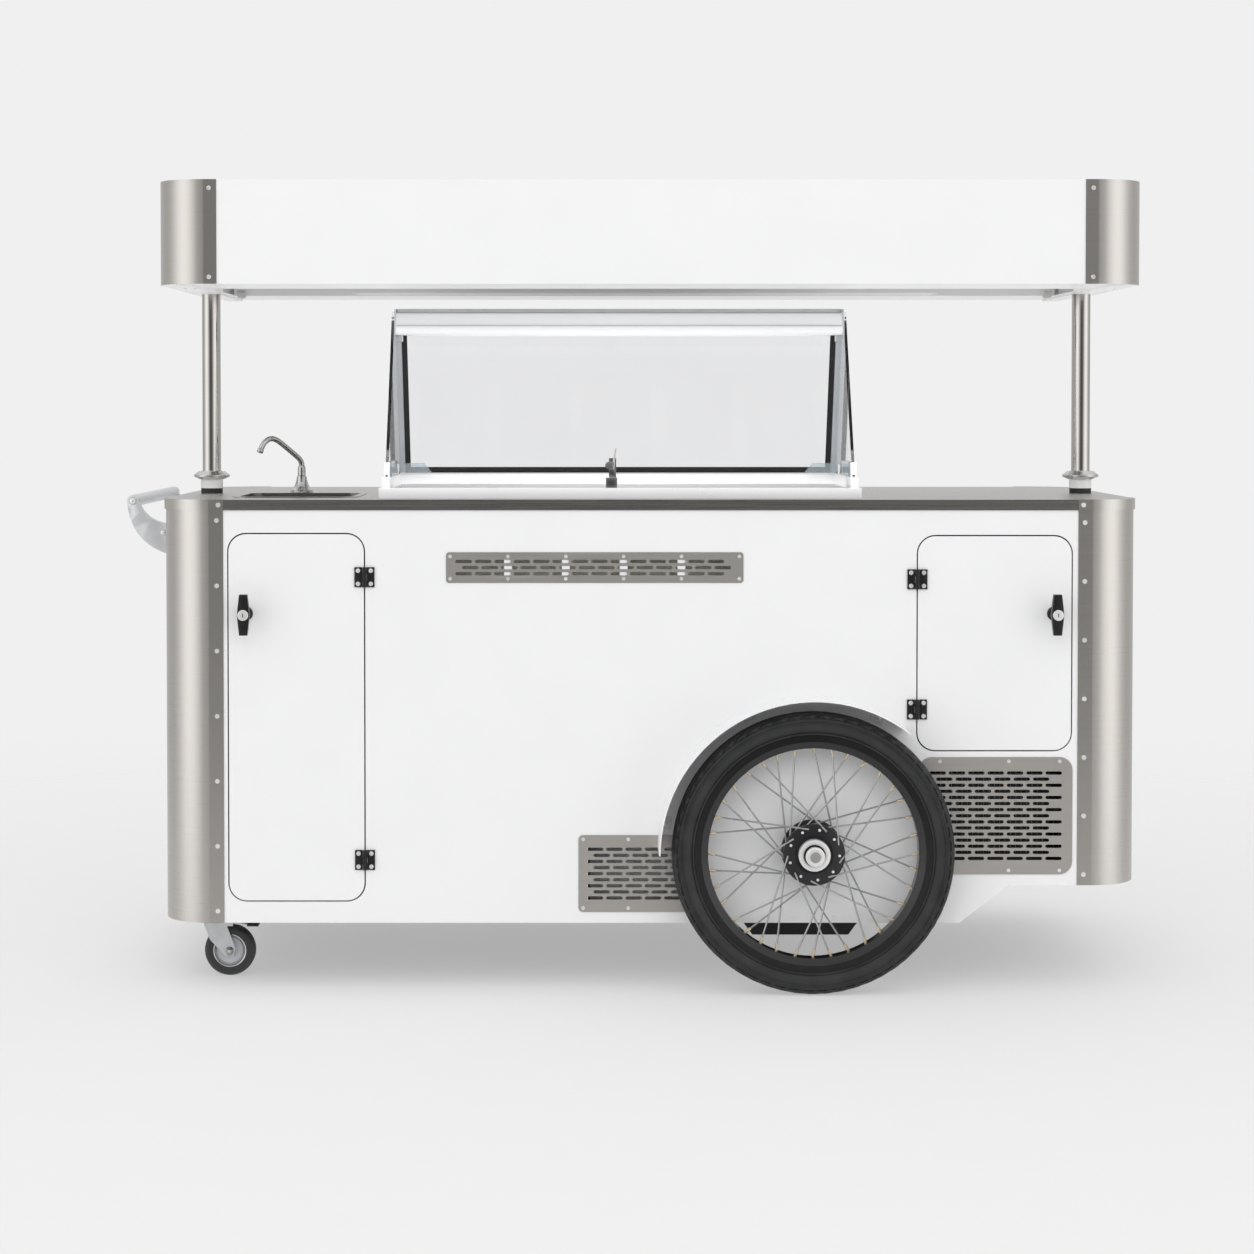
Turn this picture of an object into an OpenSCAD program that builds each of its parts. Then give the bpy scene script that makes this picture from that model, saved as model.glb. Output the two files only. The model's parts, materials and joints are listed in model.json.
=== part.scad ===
// Push vending cart: a gelato cart with a lifting canopy, a glass display,
// a sink, two service doors, two spoked wheels and two swivel casters.
// Millimetres. +X is the right-hand end, -Y the operator side, +Z up, floor at 0.

/* [Body] */
// Length of the body over the corner columns
body_l = 1890; // [1500:10:2400]
// Depth of the body over the panels
body_d = 800; // [700:10:1000]
// Radius of the corner columns
corner_r = 95; // [70:1:120]
// Flat flange of a corner column beside its curve
flange_w = 28; // [20:1:40]
// Thickness of the column and trim sheet
sheet_t = 1.5; // [1:0.5:3]
// Thickness of the white body panels and doors
panel_t = 18; // [12:1:22]
// Height of the worktop
counter_h = 942; // [850:1:1050]
// Thickness of the worktop
worktop_t = 20; // [16:1:30]
// Height of the body's underside above the floor
clearance = 125; // [120:1:140]
// Height of the raised underside at the right-hand end
raised_z = 198; // [180:1:230]
// Length of the raised underside
raised_l = 255; // [200:5:300]
// Length of the slope up to the raised underside
slope_l = 94; // [60:1:120]
// Size of the square frame tube
tube = 30; // [25:1:40]

/* [Canopy] */
// Height of the canopy box
canopy_h = 200; // [150:5:260]
// Clear height from the worktop to the canopy
canopy_gap = 414; // [400:1:600]
// How far the canopy stands out past the body on each side
canopy_over = 7; // [0:1:40]
// Thickness of the canopy panels
fascia_t = 12; // [8:1:18]
// Diameter of the two poles
pole_d = 38; // [30:1:45]
// Distance from the body's end to a pole's centre
pole_inset = 47; // [44:1:55]
// Length of a pole inside the body when the canopy is down
pole_in = 640; // [400:10:700]

/* [Wheels] */
// Diameter of the spoked wheels
wheel_d = 540; // [500:5:560]
// Width of the tyre
tyre_w = 60; // [40:1:70]
// Height of the tyre's section
tyre_h = 51; // [40:1:60]
// Distance from the body's centre to the axle
wheel_x = 309; // [280:1:340]
// Gap between the tyre and the body panel
wheel_gap = 20; // [15:1:30]
// Number of spokes in a wheel
spokes = 36; // [24:4:36]
// Diameter of a caster wheel
caster_d = 100; // [80:1:100]
// Width of a caster wheel
caster_w = 30; // [22:1:34]
// Distance from the caster's kingpin to its axle
trail = 28; // [20:1:34]

/* [Doors] */
// Width of the left door opening
door_l_w = 263; // [220:1:270]
// Height of the left door opening
door_l_h = 710; // [500:5:715]
// Width of the right door opening
door_r_w = 298; // [260:1:300]
// Height of the right door opening
door_r_h = 415; // [300:5:420]
// Distance from the worktop down to the doors
door_top_gap = 67; // [60:1:90]
// Gap round a door
door_gap = 2.7; // [2:0.1:4]
// Corner radius of the doors
door_r = 35; // [20:1:45]

/* [Display] */
// Length of the display's base
display_l = 938; // [900:2:1000]
// Offset of the display's centre to the left of the body's centre
display_off = 58; // [40:1:70]
// Depth of the display's base
display_d = 402; // [390:1:420]
// Number of gelato pans
pans = 5; // [3:1:5]
// Length of a pan
pan_l = 325; // [300:1:325]
// Width of a pan
pan_w = 176; // [160:1:176]
// Depth of a pan
pan_h = 120; // [65:5:150]
// Height of the glass above the worktop
glass_h = 369; // [320:1:375]
// Thickness of the glass
glass_t = 6; // [5:1:8]

/* [Sink] */
// Width of the sink bowl
sink_w = 250; // [200:5:260]
// Depth of the sink bowl, front to back
sink_l = 250; // [200:5:260]
// Depth of the sink bowl, down from the worktop
sink_h = 120; // [80:5:140]

/* [Fits] */
// Radial clearance of a shaft that turns or slides in its bore
run = 0.05; // [0.02:0.01:0.1]
// Clearance between pieces that move past each other
free = 0.3; // [0.3:0.1:1]
// Thickness of thin sheet metal
thin = 1.5; // [1:0.5:3]

/* [Hidden] */
$fn = 64;
half_l = body_l / 2;
half_d = body_d / 2;
col_x = half_l - corner_r;
col_y = half_d - corner_r;
face_y = -half_d + sheet_t;
back_y = face_y + panel_t;
end_x = half_l - sheet_t;
under_top = counter_h - worktop_t;
top_sheet = 2;
sheet_top = counter_h - top_sheet;
slope_x1 = half_l - raised_l;
slope_x0 = slope_x1 - slope_l;
pan_t = 3;

canopy_z = counter_h + canopy_gap;
canopy_l = body_l + 2 * canopy_over;
canopy_d = body_d + 2 * canopy_over;
canopy_r = corner_r;
cap_flat = 25;
soffit_t = 2;
roof_t = 4;
bay_half_d = 180;
crossbar = 30;
pole_x = half_l - pole_inset;
pole_r = pole_d / 2;
pole_stop_z = counter_h - pole_in;
bush_r = 22.75;
sleeve_t = 3;
seal_h = 10;
bush_h = 18.6;
collar_h = 16.5;
collar_r = 36.8;

wheel_r = wheel_d / 2;
wheel_y = half_d + wheel_gap + tyre_w / 2;
rim_r = wheel_r - tyre_h;
rim_t = 18;
rim_w = 44;
hub_r = 59;
axle_r = 10;
spoke_r = 1.3;
spoke_circle = 50;
axle_out = wheel_y + 62;
fender_r = wheel_r + 25;
fender_w = 95;
fender_end = 52;

kingpin_x = -half_l + 91;
kingpin_y = 280;
caster_plate_t = 4;
fork_gap = 1.5;

door_top = under_top - door_top_gap + worktop_t + 2;
door_l_x1 = -550.5;
door_l_x0 = door_l_x1 - door_l_w;
door_r_x0 = 512.8;
door_r_x1 = door_r_x0 + door_r_w;
door_l_z0 = door_top - door_l_h;
door_r_z0 = door_top - 4 - door_r_h;
gasket_t = 4;
hinge_w = 38.4;
hinge_stand = 4.5;
hinge_r = 4;
pin_r = 2;
leaf_t = 3;
hinge_y = face_y - hinge_stand;
latch_in = 34.6;
latch_drop = 154;
grip_out = 45;
shaft_r = 6;
cam_l = 33;

display_x0 = -display_off - display_l / 2;
display_x1 = display_x0 + display_l;
display_y0 = -half_d + 43;
display_y1 = display_y0 + display_d;
base_h = 21;
side_rail_h = 42;
rear_rail_h = 39;
rail_front = 19;
rail_rear = 45;
rail_side = 22;
well_half = (pans * pan_w + 5) / 2;
well_y0 = display_y0 + rail_front + 4;
well_y1 = well_y0 + pan_l + 5;
well_floor = counter_h - pan_h - 80;
ledge_z = counter_h - 37;
pan_r = 8;
foam_t = 30;
glass_in = 12;
post_w = 10;
glass_top = counter_h + glass_h;
pane_top_y = display_y0 + 246;
pane_a = atan2(142, 330);
pane_foot = 42;
pane_len = (glass_h - pane_foot) / cos(pane_a);
header_y0 = pane_top_y - 54;
header_y1 = pane_top_y - 7;
header_h = 47;
rod_r = 3;
rod_y = pane_top_y + 8;
rod_z = glass_top + 1;

sink_x = -697;
sink_y = -165;
tap_x = -714;
tap_y = 17;
tap_turn = 218;
sink_rim = 10;
drain_r = 20;

// The handle reaches further out than the canopy does: the origin lies under the middle.
handle_x = -half_l - 72;
handle_z = counter_h - 7;
handle_r = 12;
handle_half = 262;
frame_x = (half_l + canopy_over - handle_x + handle_r) / 2 - half_l - canopy_over;

steel = [0.72, 0.71, 0.69];
white = [0.96, 0.96, 0.96];
black = [0.09, 0.09, 0.09];
grey = [0.6, 0.62, 0.64];
clear = [0.8, 0.88, 0.92, 0.35];

// ---- outlines ----

function arc(cx, cy, r, a0, a1, n = 8) =
  [for (i = [0:n]) let (a = a0 + (a1 - a0) * i / n) [cx + r * cos(a), cy + r * sin(a)]];

function rounded(x0, y0, x1, y1, r, n = 8) = concat(
  arc(x1 - r, y0 + r, r, -90, 0, n), arc(x1 - r, y1 - r, r, 0, 90, n),
  arc(x0 + r, y1 - r, r, 90, 180, n), arc(x0 + r, y0 + r, r, 180, 270, n));

function sector(cx, cy, r0, r1, a0, a1, n = 32) = concat(arc(cx, cy, r1, a0, a1, n), arc(cx, cy, r0, a1, a0, n));

function ring(cx, cy, r, n = 32) = [for (i = [0:n - 1]) [cx + r * cos(360 * i / n), cy + r * sin(360 * i / n)]];

function bend(a, b, c, n = 10) =
  [for (i = [0:n]) let (t = i / n) (1 - t) * (1 - t) * a + 2 * t * (1 - t) * b + t * t * c];

function starts(loops, i = 0, s = 0) =
  i == len(loops) ? [] : concat([s], starts(loops, i + 1, s + len(loops[i])));

// A deck that fills a box between its flat panels, of thickness t, and its corner sheets, of radius r
function deck_corner(x, y, r, t, sx, sy) = [
  for (p = concat([[x - t, y - r]], arc(x - r, y - r, r - sheet_t - 0.2, 0, 90, 12), [[x - r, y - t]]))
    [sx * p[0], sy * p[1]]];

function turned(l) = [for (i = [len(l) - 1:-1:0]) l[i]];

function deck(x, y, r, t) = concat(
  deck_corner(x, y, r, t, 1, 1), turned(deck_corner(x, y, r, t, -1, 1)),
  deck_corner(x, y, r, t, -1, -1), turned(deck_corner(x, y, r, t, 1, -1)));

// First loop is the outside, the others are holes in it.
module outline(loops) {
  first = starts(loops);
  polygon([for (l = loops) for (p = l) p],
    paths = [for (i = [0:len(loops) - 1]) [for (j = [0:len(loops[i]) - 1]) first[i] + j]]);
}

// ---- directions ----

// A plate in X and Z whose faces lie at y0 and y0 + t
module plate_y(y0, t) {
  translate([0, y0 + t, 0]) rotate([90, 0, 0]) linear_extrude(t) children();
}

// A plate in Y and Z whose faces lie at x0 and x0 + t
module plate_x(x0, t) {
  translate([x0, 0, 0]) rotate([90, 0, 90]) linear_extrude(t) children();
}

// A plate in X and Y whose faces lie at z0 and z0 + t
module plate_z(z0, t) {
  translate([0, 0, z0]) linear_extrude(t) children();
}

module box(x0, y0, z0, x1, y1, z1) {
  translate([x0, y0, z0]) cube([x1 - x0, y1 - y0, z1 - z0]);
}

module rod_y(x, z, y0, y1, r) {
  translate([x, y0, z]) rotate([-90, 0, 0]) cylinder(h = y1 - y0, r = r);
}

module rod_x(y, z, x0, x1, r) {
  translate([x0, y, z]) rotate([0, 90, 0]) cylinder(h = x1 - x0, r = r);
}

module rod_z(x, y, z0, z1, r) {
  translate([x, y, z0]) cylinder(h = z1 - z0, r = r);
}

// A round pipe through a list of points
module pipe(points, r) {
  for (i = [0:len(points) - 2]) {
    d = points[i + 1] - points[i];
    translate(points[i]) rotate([0, acos(d[2] / norm(d)), atan2(d[1], d[0])]) cylinder(h = norm(d), r = r);
    if (i > 0) translate(points[i]) sphere(r = 1.05 * r);
  }
}

module both_sides() {
  children();
  mirror([0, 1, 0]) children();
}

module both_ends() {
  children();
  mirror([1, 0, 0]) children();
}

module placed(c) {
  color(c) translate([frame_x, 0, 0]) children();
}

// ---- floor and frame ----

// Bent floor, and the hollow trough under it that stiffens it at the axle
module floor_pan() {
  profile = [
    [-half_l, clearance], [slope_x0, clearance], [slope_x1, raised_z], [half_l, raised_z],
    [half_l, raised_z + pan_t], [slope_x1 - 2, raised_z + pan_t],
    [slope_x0 - 2, clearance + pan_t], [-half_l, clearance + pan_t]];
  placed(black) {
    intersection() {
      plate_y(back_y, -2 * back_y) polygon(profile);
      plate_z(0, counter_h) polygon(deck(half_l, half_d, corner_r, sheet_t + panel_t));
    }
    difference() {
      plate_y(-trough_l / 2, trough_l) polygon(trough(0));
      plate_y(-trough_l / 2 + pan_t, trough_l - 2 * pan_t) polygon(trough(pan_t));
    }
  }
}

trough_l = 300;
trough_h = 72;

function trough(in) = [
  [wheel_x - 150 + 2 * in, clearance - (in > 0 ? 1 : 0)], [wheel_x - 97 + in, clearance - trough_h + in],
  [wheel_x + 97 - in, clearance - trough_h + in], [wheel_x + 150 - 2 * in, clearance - (in > 0 ? 1 : 0)]];

// A square tube from one corner to the other, hollow along the axis given by the unit vector a
module square_tube(x0, y0, z0, x1, y1, z1, a) {
  w = 2;
  difference() {
    box(x0, y0, z0, x1, y1, z1);
    box(x0 + (a[0] > 0 ? -1 : w), y0 + (a[1] > 0 ? -1 : w), z0 + (a[2] > 0 ? -1 : w),
      x1 - (a[0] > 0 ? -1 : w), y1 - (a[1] > 0 ? -1 : w), z1 - (a[2] > 0 ? -1 : w));
  }
}

module tube_x(x0, x1, y, z) {
  square_tube(x0, y, z, x1, y + tube, z + tube, [1, 0, 0]);
}

module tube_y(x, z) {
  square_tube(x, back_y + tube, z, x + tube, -back_y - tube, z + tube, [0, 1, 0]);
}

module post(x, z0) {
  square_tube(x, back_y, z0, x + tube, back_y + tube, sheet_top - tube, [0, 0, 1]);
}

post_x = [-col_x, door_l_x1 + 14, door_r_x0 - tube - 14];
low_z = clearance + pan_t;
high_z = raised_z + pan_t;

module frame_rails() {
  placed(grey) both_sides() {
    tube_x(-col_x, slope_x0 - 2, back_y, low_z);
    tube_x(post_x[2] + tube, col_x, back_y, high_z);
    tube_x(-col_x, col_x, back_y, sheet_top - tube);
  }
}

module frame_posts() {
  placed(grey) {
    both_sides() {
      for (x = post_x) post(x, low_z + tube);
      post(col_x - tube, high_z + tube);
    }
    for (x = [-col_x, -150, 120]) tube_y(x, low_z);
    for (x = [post_x[2] + tube + 10, col_x - 3 * tube]) tube_y(x, high_z);
  }
}

// ---- outer shell ----

panel_edge = [
  [-col_x, clearance], [slope_x0, clearance], [slope_x1, raised_z],
  [col_x, raised_z], [col_x, sheet_top], [-col_x, sheet_top]];

door_l_hole = rounded(door_l_x0 - door_gap / 2, door_l_z0 - door_gap / 2,
  door_l_x1 + door_gap / 2, door_top + door_gap / 2, door_r + door_gap / 2);
door_r_hole = rounded(door_r_x0 - door_gap / 2, door_r_z0 - door_gap / 2,
  door_r_x1 + door_gap / 2, door_top - 4 + door_gap / 2, door_r + door_gap / 2);

// Vent grilles: left, bottom, right and top edges, and corner radius
upper_vent = [-393.7, counter_h - 160, 178.3, counter_h - 101, 6];
left_vent = [-139, 146, 106, 295, 9];
right_vent = [517, 219, 813, 446, 25];
vent_edge = 18;
rib_w = 15;
ribs = 5;

function vent_hole(v) = rounded(v[0] + vent_edge, v[1] + 9, v[2] - vent_edge, v[3] - 9, 3, 2);

// The upper vent's cut-out is split by ribs behind the grille's screws.
function upper_windows() = let (
  x0 = upper_vent[0] + 8, pitch = (upper_vent[2] - upper_vent[0] - 16) / ribs)
  [for (i = [0:ribs - 1]) rounded(x0 + i * pitch + rib_w / 2, upper_vent[1] + 12,
    x0 + (i + 1) * pitch - rib_w / 2, upper_vent[3] - 12, 3, 2)];

module front_panel() {
  placed(white) plate_y(face_y, panel_t) outline(concat(
    [panel_edge, door_l_hole, door_r_hole, vent_hole(left_vent), vent_hole(right_vent),
      ring(wheel_x, wheel_r, axle_r + 4)],
    upper_windows()));
}

module rear_panel() {
  placed(white) plate_y(-back_y, panel_t) outline([panel_edge, ring(wheel_x, wheel_r, axle_r + 4)]);
}

module end_panels() {
  placed(white) {
    box(-end_x, -col_y, clearance, -end_x + panel_t, col_y, sheet_top);
    box(end_x - panel_t, -col_y, raised_z, end_x, col_y, sheet_top);
  }
}

// Quarter-round sheet with a flat flange at each side, round the corner at +X and -Y
module corner_sheet(cx, cy, r, t, f, z0, z1) {
  translate([cx, cy, z0]) linear_extrude(z1 - z0) union() {
    intersection() {
      difference() {
        circle(r = r);
        circle(r = r - t);
      }
      translate([0, -r]) square([r, r]);
    }
    translate([-f, -r]) square([f, t]);
    translate([r - t, 0]) square([t, f]);
  }
}

module corner_columns() {
  placed(steel) both_sides() {
    corner_sheet(col_x, -col_y, corner_r, sheet_t, flange_w, raised_z, under_top);
    mirror([1, 0, 0]) corner_sheet(col_x, -col_y, corner_r, sheet_t, flange_w, clearance, under_top);
  }
}

module screw_y(x, z, y, r = 4.5) {
  rod_y(x, z, y - 2.2, y, r);
  rod_y(x, z, y, y + 12, 2);
}

column_screws = 7;
screw_in = 12.5;

function grille_screws(v, cols) = [for (x = cols) for (z = [v[1] + 8, v[3] - 8]) [x, z]];

module body_screws() {
  x = col_x - flange_w + screw_in;
  placed(steel) {
    for (i = [0:column_screws - 1]) {
      t = i / (column_screws - 1);
      both_sides() screw_y(x, raised_z + 21 + t * (under_top - raised_z - 45), -half_d);
      both_sides() screw_y(-x, clearance + 23 + t * (under_top - clearance - 43), -half_d);
    }
    both_ends() both_sides() screw_y(col_x - 19, counter_h - 10, -half_d - 3);
    for (i = [0:ribs]) {
      u = upper_vent[0] + 8 + i * (upper_vent[2] - upper_vent[0] - 16) / ribs;
      for (z = [upper_vent[1] + 8, upper_vent[3] - 8]) screw_y(u, z, face_y - thin, 3.5);
    }
    for (p = concat(grille_screws(left_vent, [-130, -43]),
        grille_screws(right_vent, [right_vent[0] + 40, 690, right_vent[2] - 9 - 16]))) {
      screw_y(p[0], p[1], face_y - thin, 3.5);
    }
    for (i = [0:2]) screw_y(wheel_x - 35 + 40 * i, clearance + 11, face_y, 3.5);
  }
}

// Slots of a grille, in rows that step sideways by a part of the pitch
slot_l = 32;
slot_h = 6.5;
pitch_x = 37.3;
pitch_z = 11.8;
step = 13;

function slot(x, z) = concat(
  arc(x + slot_l - slot_h / 2, z, slot_h / 2, -90, 90, 4), arc(x + slot_h / 2, z, slot_h / 2, 90, 270, 4));

function slots(v, rows, edge) = [
  for (j = [0:rows - 1]) let (
    z = (v[1] + v[3]) / 2 + (j - (rows - 1) / 2) * pitch_z,
    x0 = v[0] + edge + (j % 2) * step)
  for (i = [0:floor((v[2] - edge - slot_l - x0) / pitch_x)]) slot(x0 + i * pitch_x, z)];

module grille(v, rows, edge) {
  plate_y(face_y - thin, thin) outline(concat([rounded(v[0], v[1], v[2], v[3], v[4], 6)], slots(v, rows, edge)));
}

module vent_grilles() {
  placed(steel) {
    grille(upper_vent, 3, 18);
    grille(left_vent, 9, 16);
    grille(right_vent, 15, 20);
  }
}

// ---- worktop ----

// Folded sheet: a flat top with a skirt all round it
module worktop() {
  over = 1.5;
  in = over - top_sheet;
  edge = rounded(-half_l - over, -half_d - over, half_l + over, half_d + over, corner_r + over, 16);
  inner = rounded(-half_l - in, -half_d - in, half_l + in, half_d + in, corner_r + in, 16);
  placed(steel) difference() {
    union() {
      plate_z(sheet_top, top_sheet) outline([edge,
        rounded(-display_off - well_half - 2, well_y0 - 2, -display_off + well_half + 2, well_y1 + 2, 6, 4),
        rounded(sink_x - sink_w / 2 + sink_rim, sink_y - sink_l / 2 + sink_rim,
          sink_x + sink_w / 2 - sink_rim, sink_y + sink_l / 2 - sink_rim, 30, 6)]);
      plate_z(under_top, worktop_t - top_sheet) outline([edge, inner]);
    }
    both_ends() rod_z(pole_x, 0, under_top - 1, counter_h + 1, bush_r - 2);
    rod_z(tap_x, tap_y, under_top - 1, counter_h + 1, 11);
  }
}

module worktop_trims() {
  placed(steel) both_ends() both_sides() {
    corner_sheet(col_x, -col_y, corner_r + 3, sheet_t, flange_w, under_top - 0.5, counter_h + 0.5);
  }
}

module sink_bowl() {
  x0 = sink_x - sink_w / 2;
  y0 = sink_y - sink_l / 2;
  x1 = x0 + sink_w;
  y1 = y0 + sink_l;
  w = sink_rim + 2;
  placed(steel) {
    plate_z(counter_h, thin) outline([
      rounded(x0, y0, x1, y1, 34), rounded(x0 + w + thin, y0 + w + thin, x1 - w - thin, y1 - w - thin, 26)]);
    plate_z(counter_h - sink_h, sink_h) outline([
      rounded(x0 + w, y0 + w, x1 - w, y1 - w, 28),
      rounded(x0 + w + thin, y0 + w + thin, x1 - w - thin, y1 - w - thin, 26)]);
    difference() {
      plate_z(counter_h - sink_h - thin, thin) polygon(rounded(x0 + w, y0 + w, x1 - w, y1 - w, 28));
      rod_z(sink_x, sink_y, counter_h - sink_h - 3, counter_h - sink_h + 1, drain_r);
    }
  }
}

spout_z = counter_h + 34;

module tap_base() {
  placed(steel) difference() {
    union() {
      translate([tap_x, tap_y, counter_h]) rotate_extrude() polygon(concat(
        [[0, 0], [23, 0], [23, 5]], bend([21, 7], [12, 14], [10, 34], 6), [[0, 34]]));
      rod_z(tap_x, tap_y, counter_h - 52, counter_h, 10.5);
      rod_z(tap_x, tap_y, sheet_top - 10, sheet_top, 18);
    }
    rod_z(tap_x, tap_y, spout_z - 22, spout_z + 1, 5 + run);
  }
}

module tap_spout() {
  path = [for (p = [[0, 10], [0, 32], [9, 41], [52, 71], [70, 78], [86, 76], [97, 65], [103, 44]]) [p[0], 0, p[1]]];
  placed(steel) translate([tap_x, tap_y, spout_z]) rotate([0, 0, tap_turn]) {
    translate([0, 0, -20]) cylinder(h = 20.3, r = 5);
    translate([0, 0, free]) cylinder(h = 22, r = 8);
    translate([0, 0, free]) pipe(path, 5.8);
  }
}

// ---- wheels ----

// Arched skin that stands out from the panel, with a bolted flange inside it.
// Its foot passes over the corner of the left grille.
module fender() {
  flange_end = 180 - asin((left_vent[3] + 1 - wheel_r) / (fender_r - 26));
  difference() {
    plate_y(-half_d - fender_w, fender_w + sheet_t)
      polygon(sector(wheel_x, wheel_r, fender_r - 2.5, fender_r, fender_end, 180));
    box(left_vent[0], face_y - thin, wheel_r - 1, left_vent[2], face_y + 1, left_vent[3] + 1);
  }
  plate_y(face_y - 2, 2) polygon(sector(wheel_x, wheel_r, fender_r - 26, fender_r, fender_end, flange_end));
}

module fenders() {
  placed(white) both_sides() fender();
}

module axle() {
  placed(black) {
    difference() {
      box(wheel_x - 20, back_y + 6, wheel_r - 20, wheel_x + 20, -back_y - 6, wheel_r + 20);
      box(wheel_x - 17, back_y + 12, wheel_r - 17, wheel_x + 17, -back_y - 12, wheel_r + 17);
    }
    both_sides() {
      box(wheel_x - 60, back_y, wheel_r - 60, wheel_x + 60, back_y + 6, wheel_r + 60);
      rod_y(wheel_x, wheel_r, -axle_out, back_y, axle_r);
      rod_y(wheel_x, wheel_r, -half_d - 5, back_y, axle_r + 3);
      rod_y(wheel_x, wheel_r, -wheel_y - 56, -wheel_y - 42 - free, 18);
      box(wheel_x - 15, back_y + tube + 4, low_z, wheel_x + 15, back_y + tube + 34, wheel_r - 20);
    }
  }
}

// The near wheel is built about the axle line, out from its centre plane.
module near_wheel() {
  translate([wheel_x, -wheel_y, wheel_r]) rotate([90, 0, 0]) children();
}

module tyre_shape() {
  half = tyre_w / 2;
  rotate_extrude($fn = 96) polygon(concat(
    [[rim_r, -rim_w / 2 + 4], [rim_r + 8.5, -rim_w / 2 + 3]],
    [for (a = [-70:14:70]) [wheel_r - 20 + 20 * cos(a), half * sin(a) / sin(70)]],
    [[rim_r + 8.5, rim_w / 2 - 3], [rim_r, rim_w / 2 - 4]]));
}

module rim_shape() {
  rotate_extrude($fn = 96) polygon([
    [rim_r - rim_t, -14], [rim_r - 5, -rim_w / 2], [rim_r + 8, -rim_w / 2], [rim_r + 8, -rim_w / 2 + 2],
    [rim_r - free / 3, -rim_w / 2 + 3], [rim_r - free / 3, rim_w / 2 - 3], [rim_r + 8, rim_w / 2 - 2],
    [rim_r + 8, rim_w / 2], [rim_r - 5, rim_w / 2], [rim_r - rim_t, 14]]);
}

// Hub with two drilled flanges, and the crossed spokes laced to it
module hub_shape() {
  difference() {
    union() {
      translate([0, 0, -30]) cylinder(h = 60, r = 27);
      for (z = [-30, 24]) translate([0, 0, z]) cylinder(h = 6, r = hub_r);
      translate([0, 0, 30]) cylinder(h = 12, r = 30.5);
      translate([0, 0, -44]) cylinder(h = 14, r = 22);
    }
    translate([0, 0, -50]) cylinder(h = 110, r = axle_r + run);
  }
  for (i = [0:spokes - 1]) {
    side = i % 2 == 0 ? 1 : -1;
    cross = floor(i / 2) % 2 == 0 ? 1 : -1;
    a = 360 * i / spokes;
    p = [spoke_circle * cos(a - 58 * cross), spoke_circle * sin(a - 58 * cross), 27 * side];
    q = [(rim_r - rim_t + 2) * cos(a), (rim_r - rim_t + 2) * sin(a), 5 * side];
    pipe([p, q], spoke_r, $fn = 16);
  }
}

module near_tyre() {
  placed(black) near_wheel() tyre_shape();
}

module near_rim() {
  placed(black) near_wheel() rim_shape();
}

module near_hub() {
  placed(steel) near_wheel() hub_shape();
}

module far_tyre() {
  mirror([0, 1, 0]) near_tyre();
}

module far_rim() {
  mirror([0, 1, 0]) near_rim();
}

module far_hub() {
  mirror([0, 1, 0]) near_hub();
}

// ---- casters ----

caster_r = caster_d / 2;
fork_top = clearance - caster_plate_t - 16;
crown_h = 8;

module caster_plates() {
  placed(steel) both_sides() {
    box(kingpin_x - 42, -kingpin_y - 42, clearance - caster_plate_t, kingpin_x + 42, -kingpin_y + 42, clearance);
    rod_z(kingpin_x, -kingpin_y, fork_top - 3, clearance - caster_plate_t, 6);
    rod_z(kingpin_x, -kingpin_y, fork_top + crown_h + free, clearance - caster_plate_t, 20);
    rod_z(kingpin_x, -kingpin_y, fork_top - 7, fork_top - 3, 8);
  }
}

module near_fork() {
  side = caster_w / 2 + fork_gap;
  leg = [[kingpin_x - 22, fork_top - 2], [kingpin_x + 22, fork_top - 2], [kingpin_x + trail + 12, caster_r + 4],
    [kingpin_x + trail + 8, caster_r - 10], [kingpin_x + trail - 8, caster_r - 10], [kingpin_x - 10, caster_r + 22]];
  placed(grey) translate([0, -kingpin_y, 0]) {
    difference() {
      union() {
        box(kingpin_x - 22, -side - 2.5, fork_top - 3 + free, kingpin_x + 22, side + 2.5, fork_top);
        rod_z(kingpin_x, 0, fork_top - 3 + free, fork_top + crown_h, 17);
        for (y = [-side - 2.5, side]) plate_y(y, 2.5) polygon(leg);
      }
      rod_z(kingpin_x, 0, fork_top - 10, fork_top + 20, 6 + run);
    }
    rod_y(kingpin_x + trail, caster_r, -side - 6, side + 6, 5);
    rod_y(pedal_x, pedal_z, -side - 2, side + 2, 2);
    for (y = [-side - 2.5, side]) box(kingpin_x + 10, y, fork_top - 6, pedal_x + 5, y + 2.5, pedal_z + 5);
  }
}

module far_fork() {
  mirror([0, 1, 0]) near_fork();
}

module near_caster_wheel() {
  placed(black) translate([kingpin_x + trail, -kingpin_y, caster_r]) rotate([90, 0, 0])
    translate([0, 0, -caster_w / 2]) difference() {
      rotate_extrude() polygon(concat([[5 + run, 0], [caster_r - 12, 0], [caster_r - 10, 2]],
        arc(caster_r - 8, 10, 8, -90, 0, 4), arc(caster_r - 8, caster_w - 10, 8, 0, 90, 4),
        [[caster_r - 10, caster_w - 2], [caster_r - 12, caster_w], [5 + run, caster_w]]));
    }
}

module far_caster_wheel() {
  mirror([0, 1, 0]) near_caster_wheel();
}

pedal_x = kingpin_x + 30;
pedal_z = fork_top + 1;

// A foot lever on the fork's crown, turned about a pin across it
module near_brake_pedal() {
  placed(black) translate([0, -kingpin_y, 0]) {
    difference() {
      union() {
        translate([pedal_x, 0, pedal_z]) rotate([0, 8, 0]) box(3, -14, -2.5, 54, 14, 1.5);
        rod_y(pedal_x, pedal_z, -13, 13, 4.5);
      }
      rod_y(pedal_x, pedal_z, -15, 15, 2 + run);
    }
  }
}

module far_brake_pedal() {
  mirror([0, 1, 0]) near_brake_pedal();
}

// ---- doors ----

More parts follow.
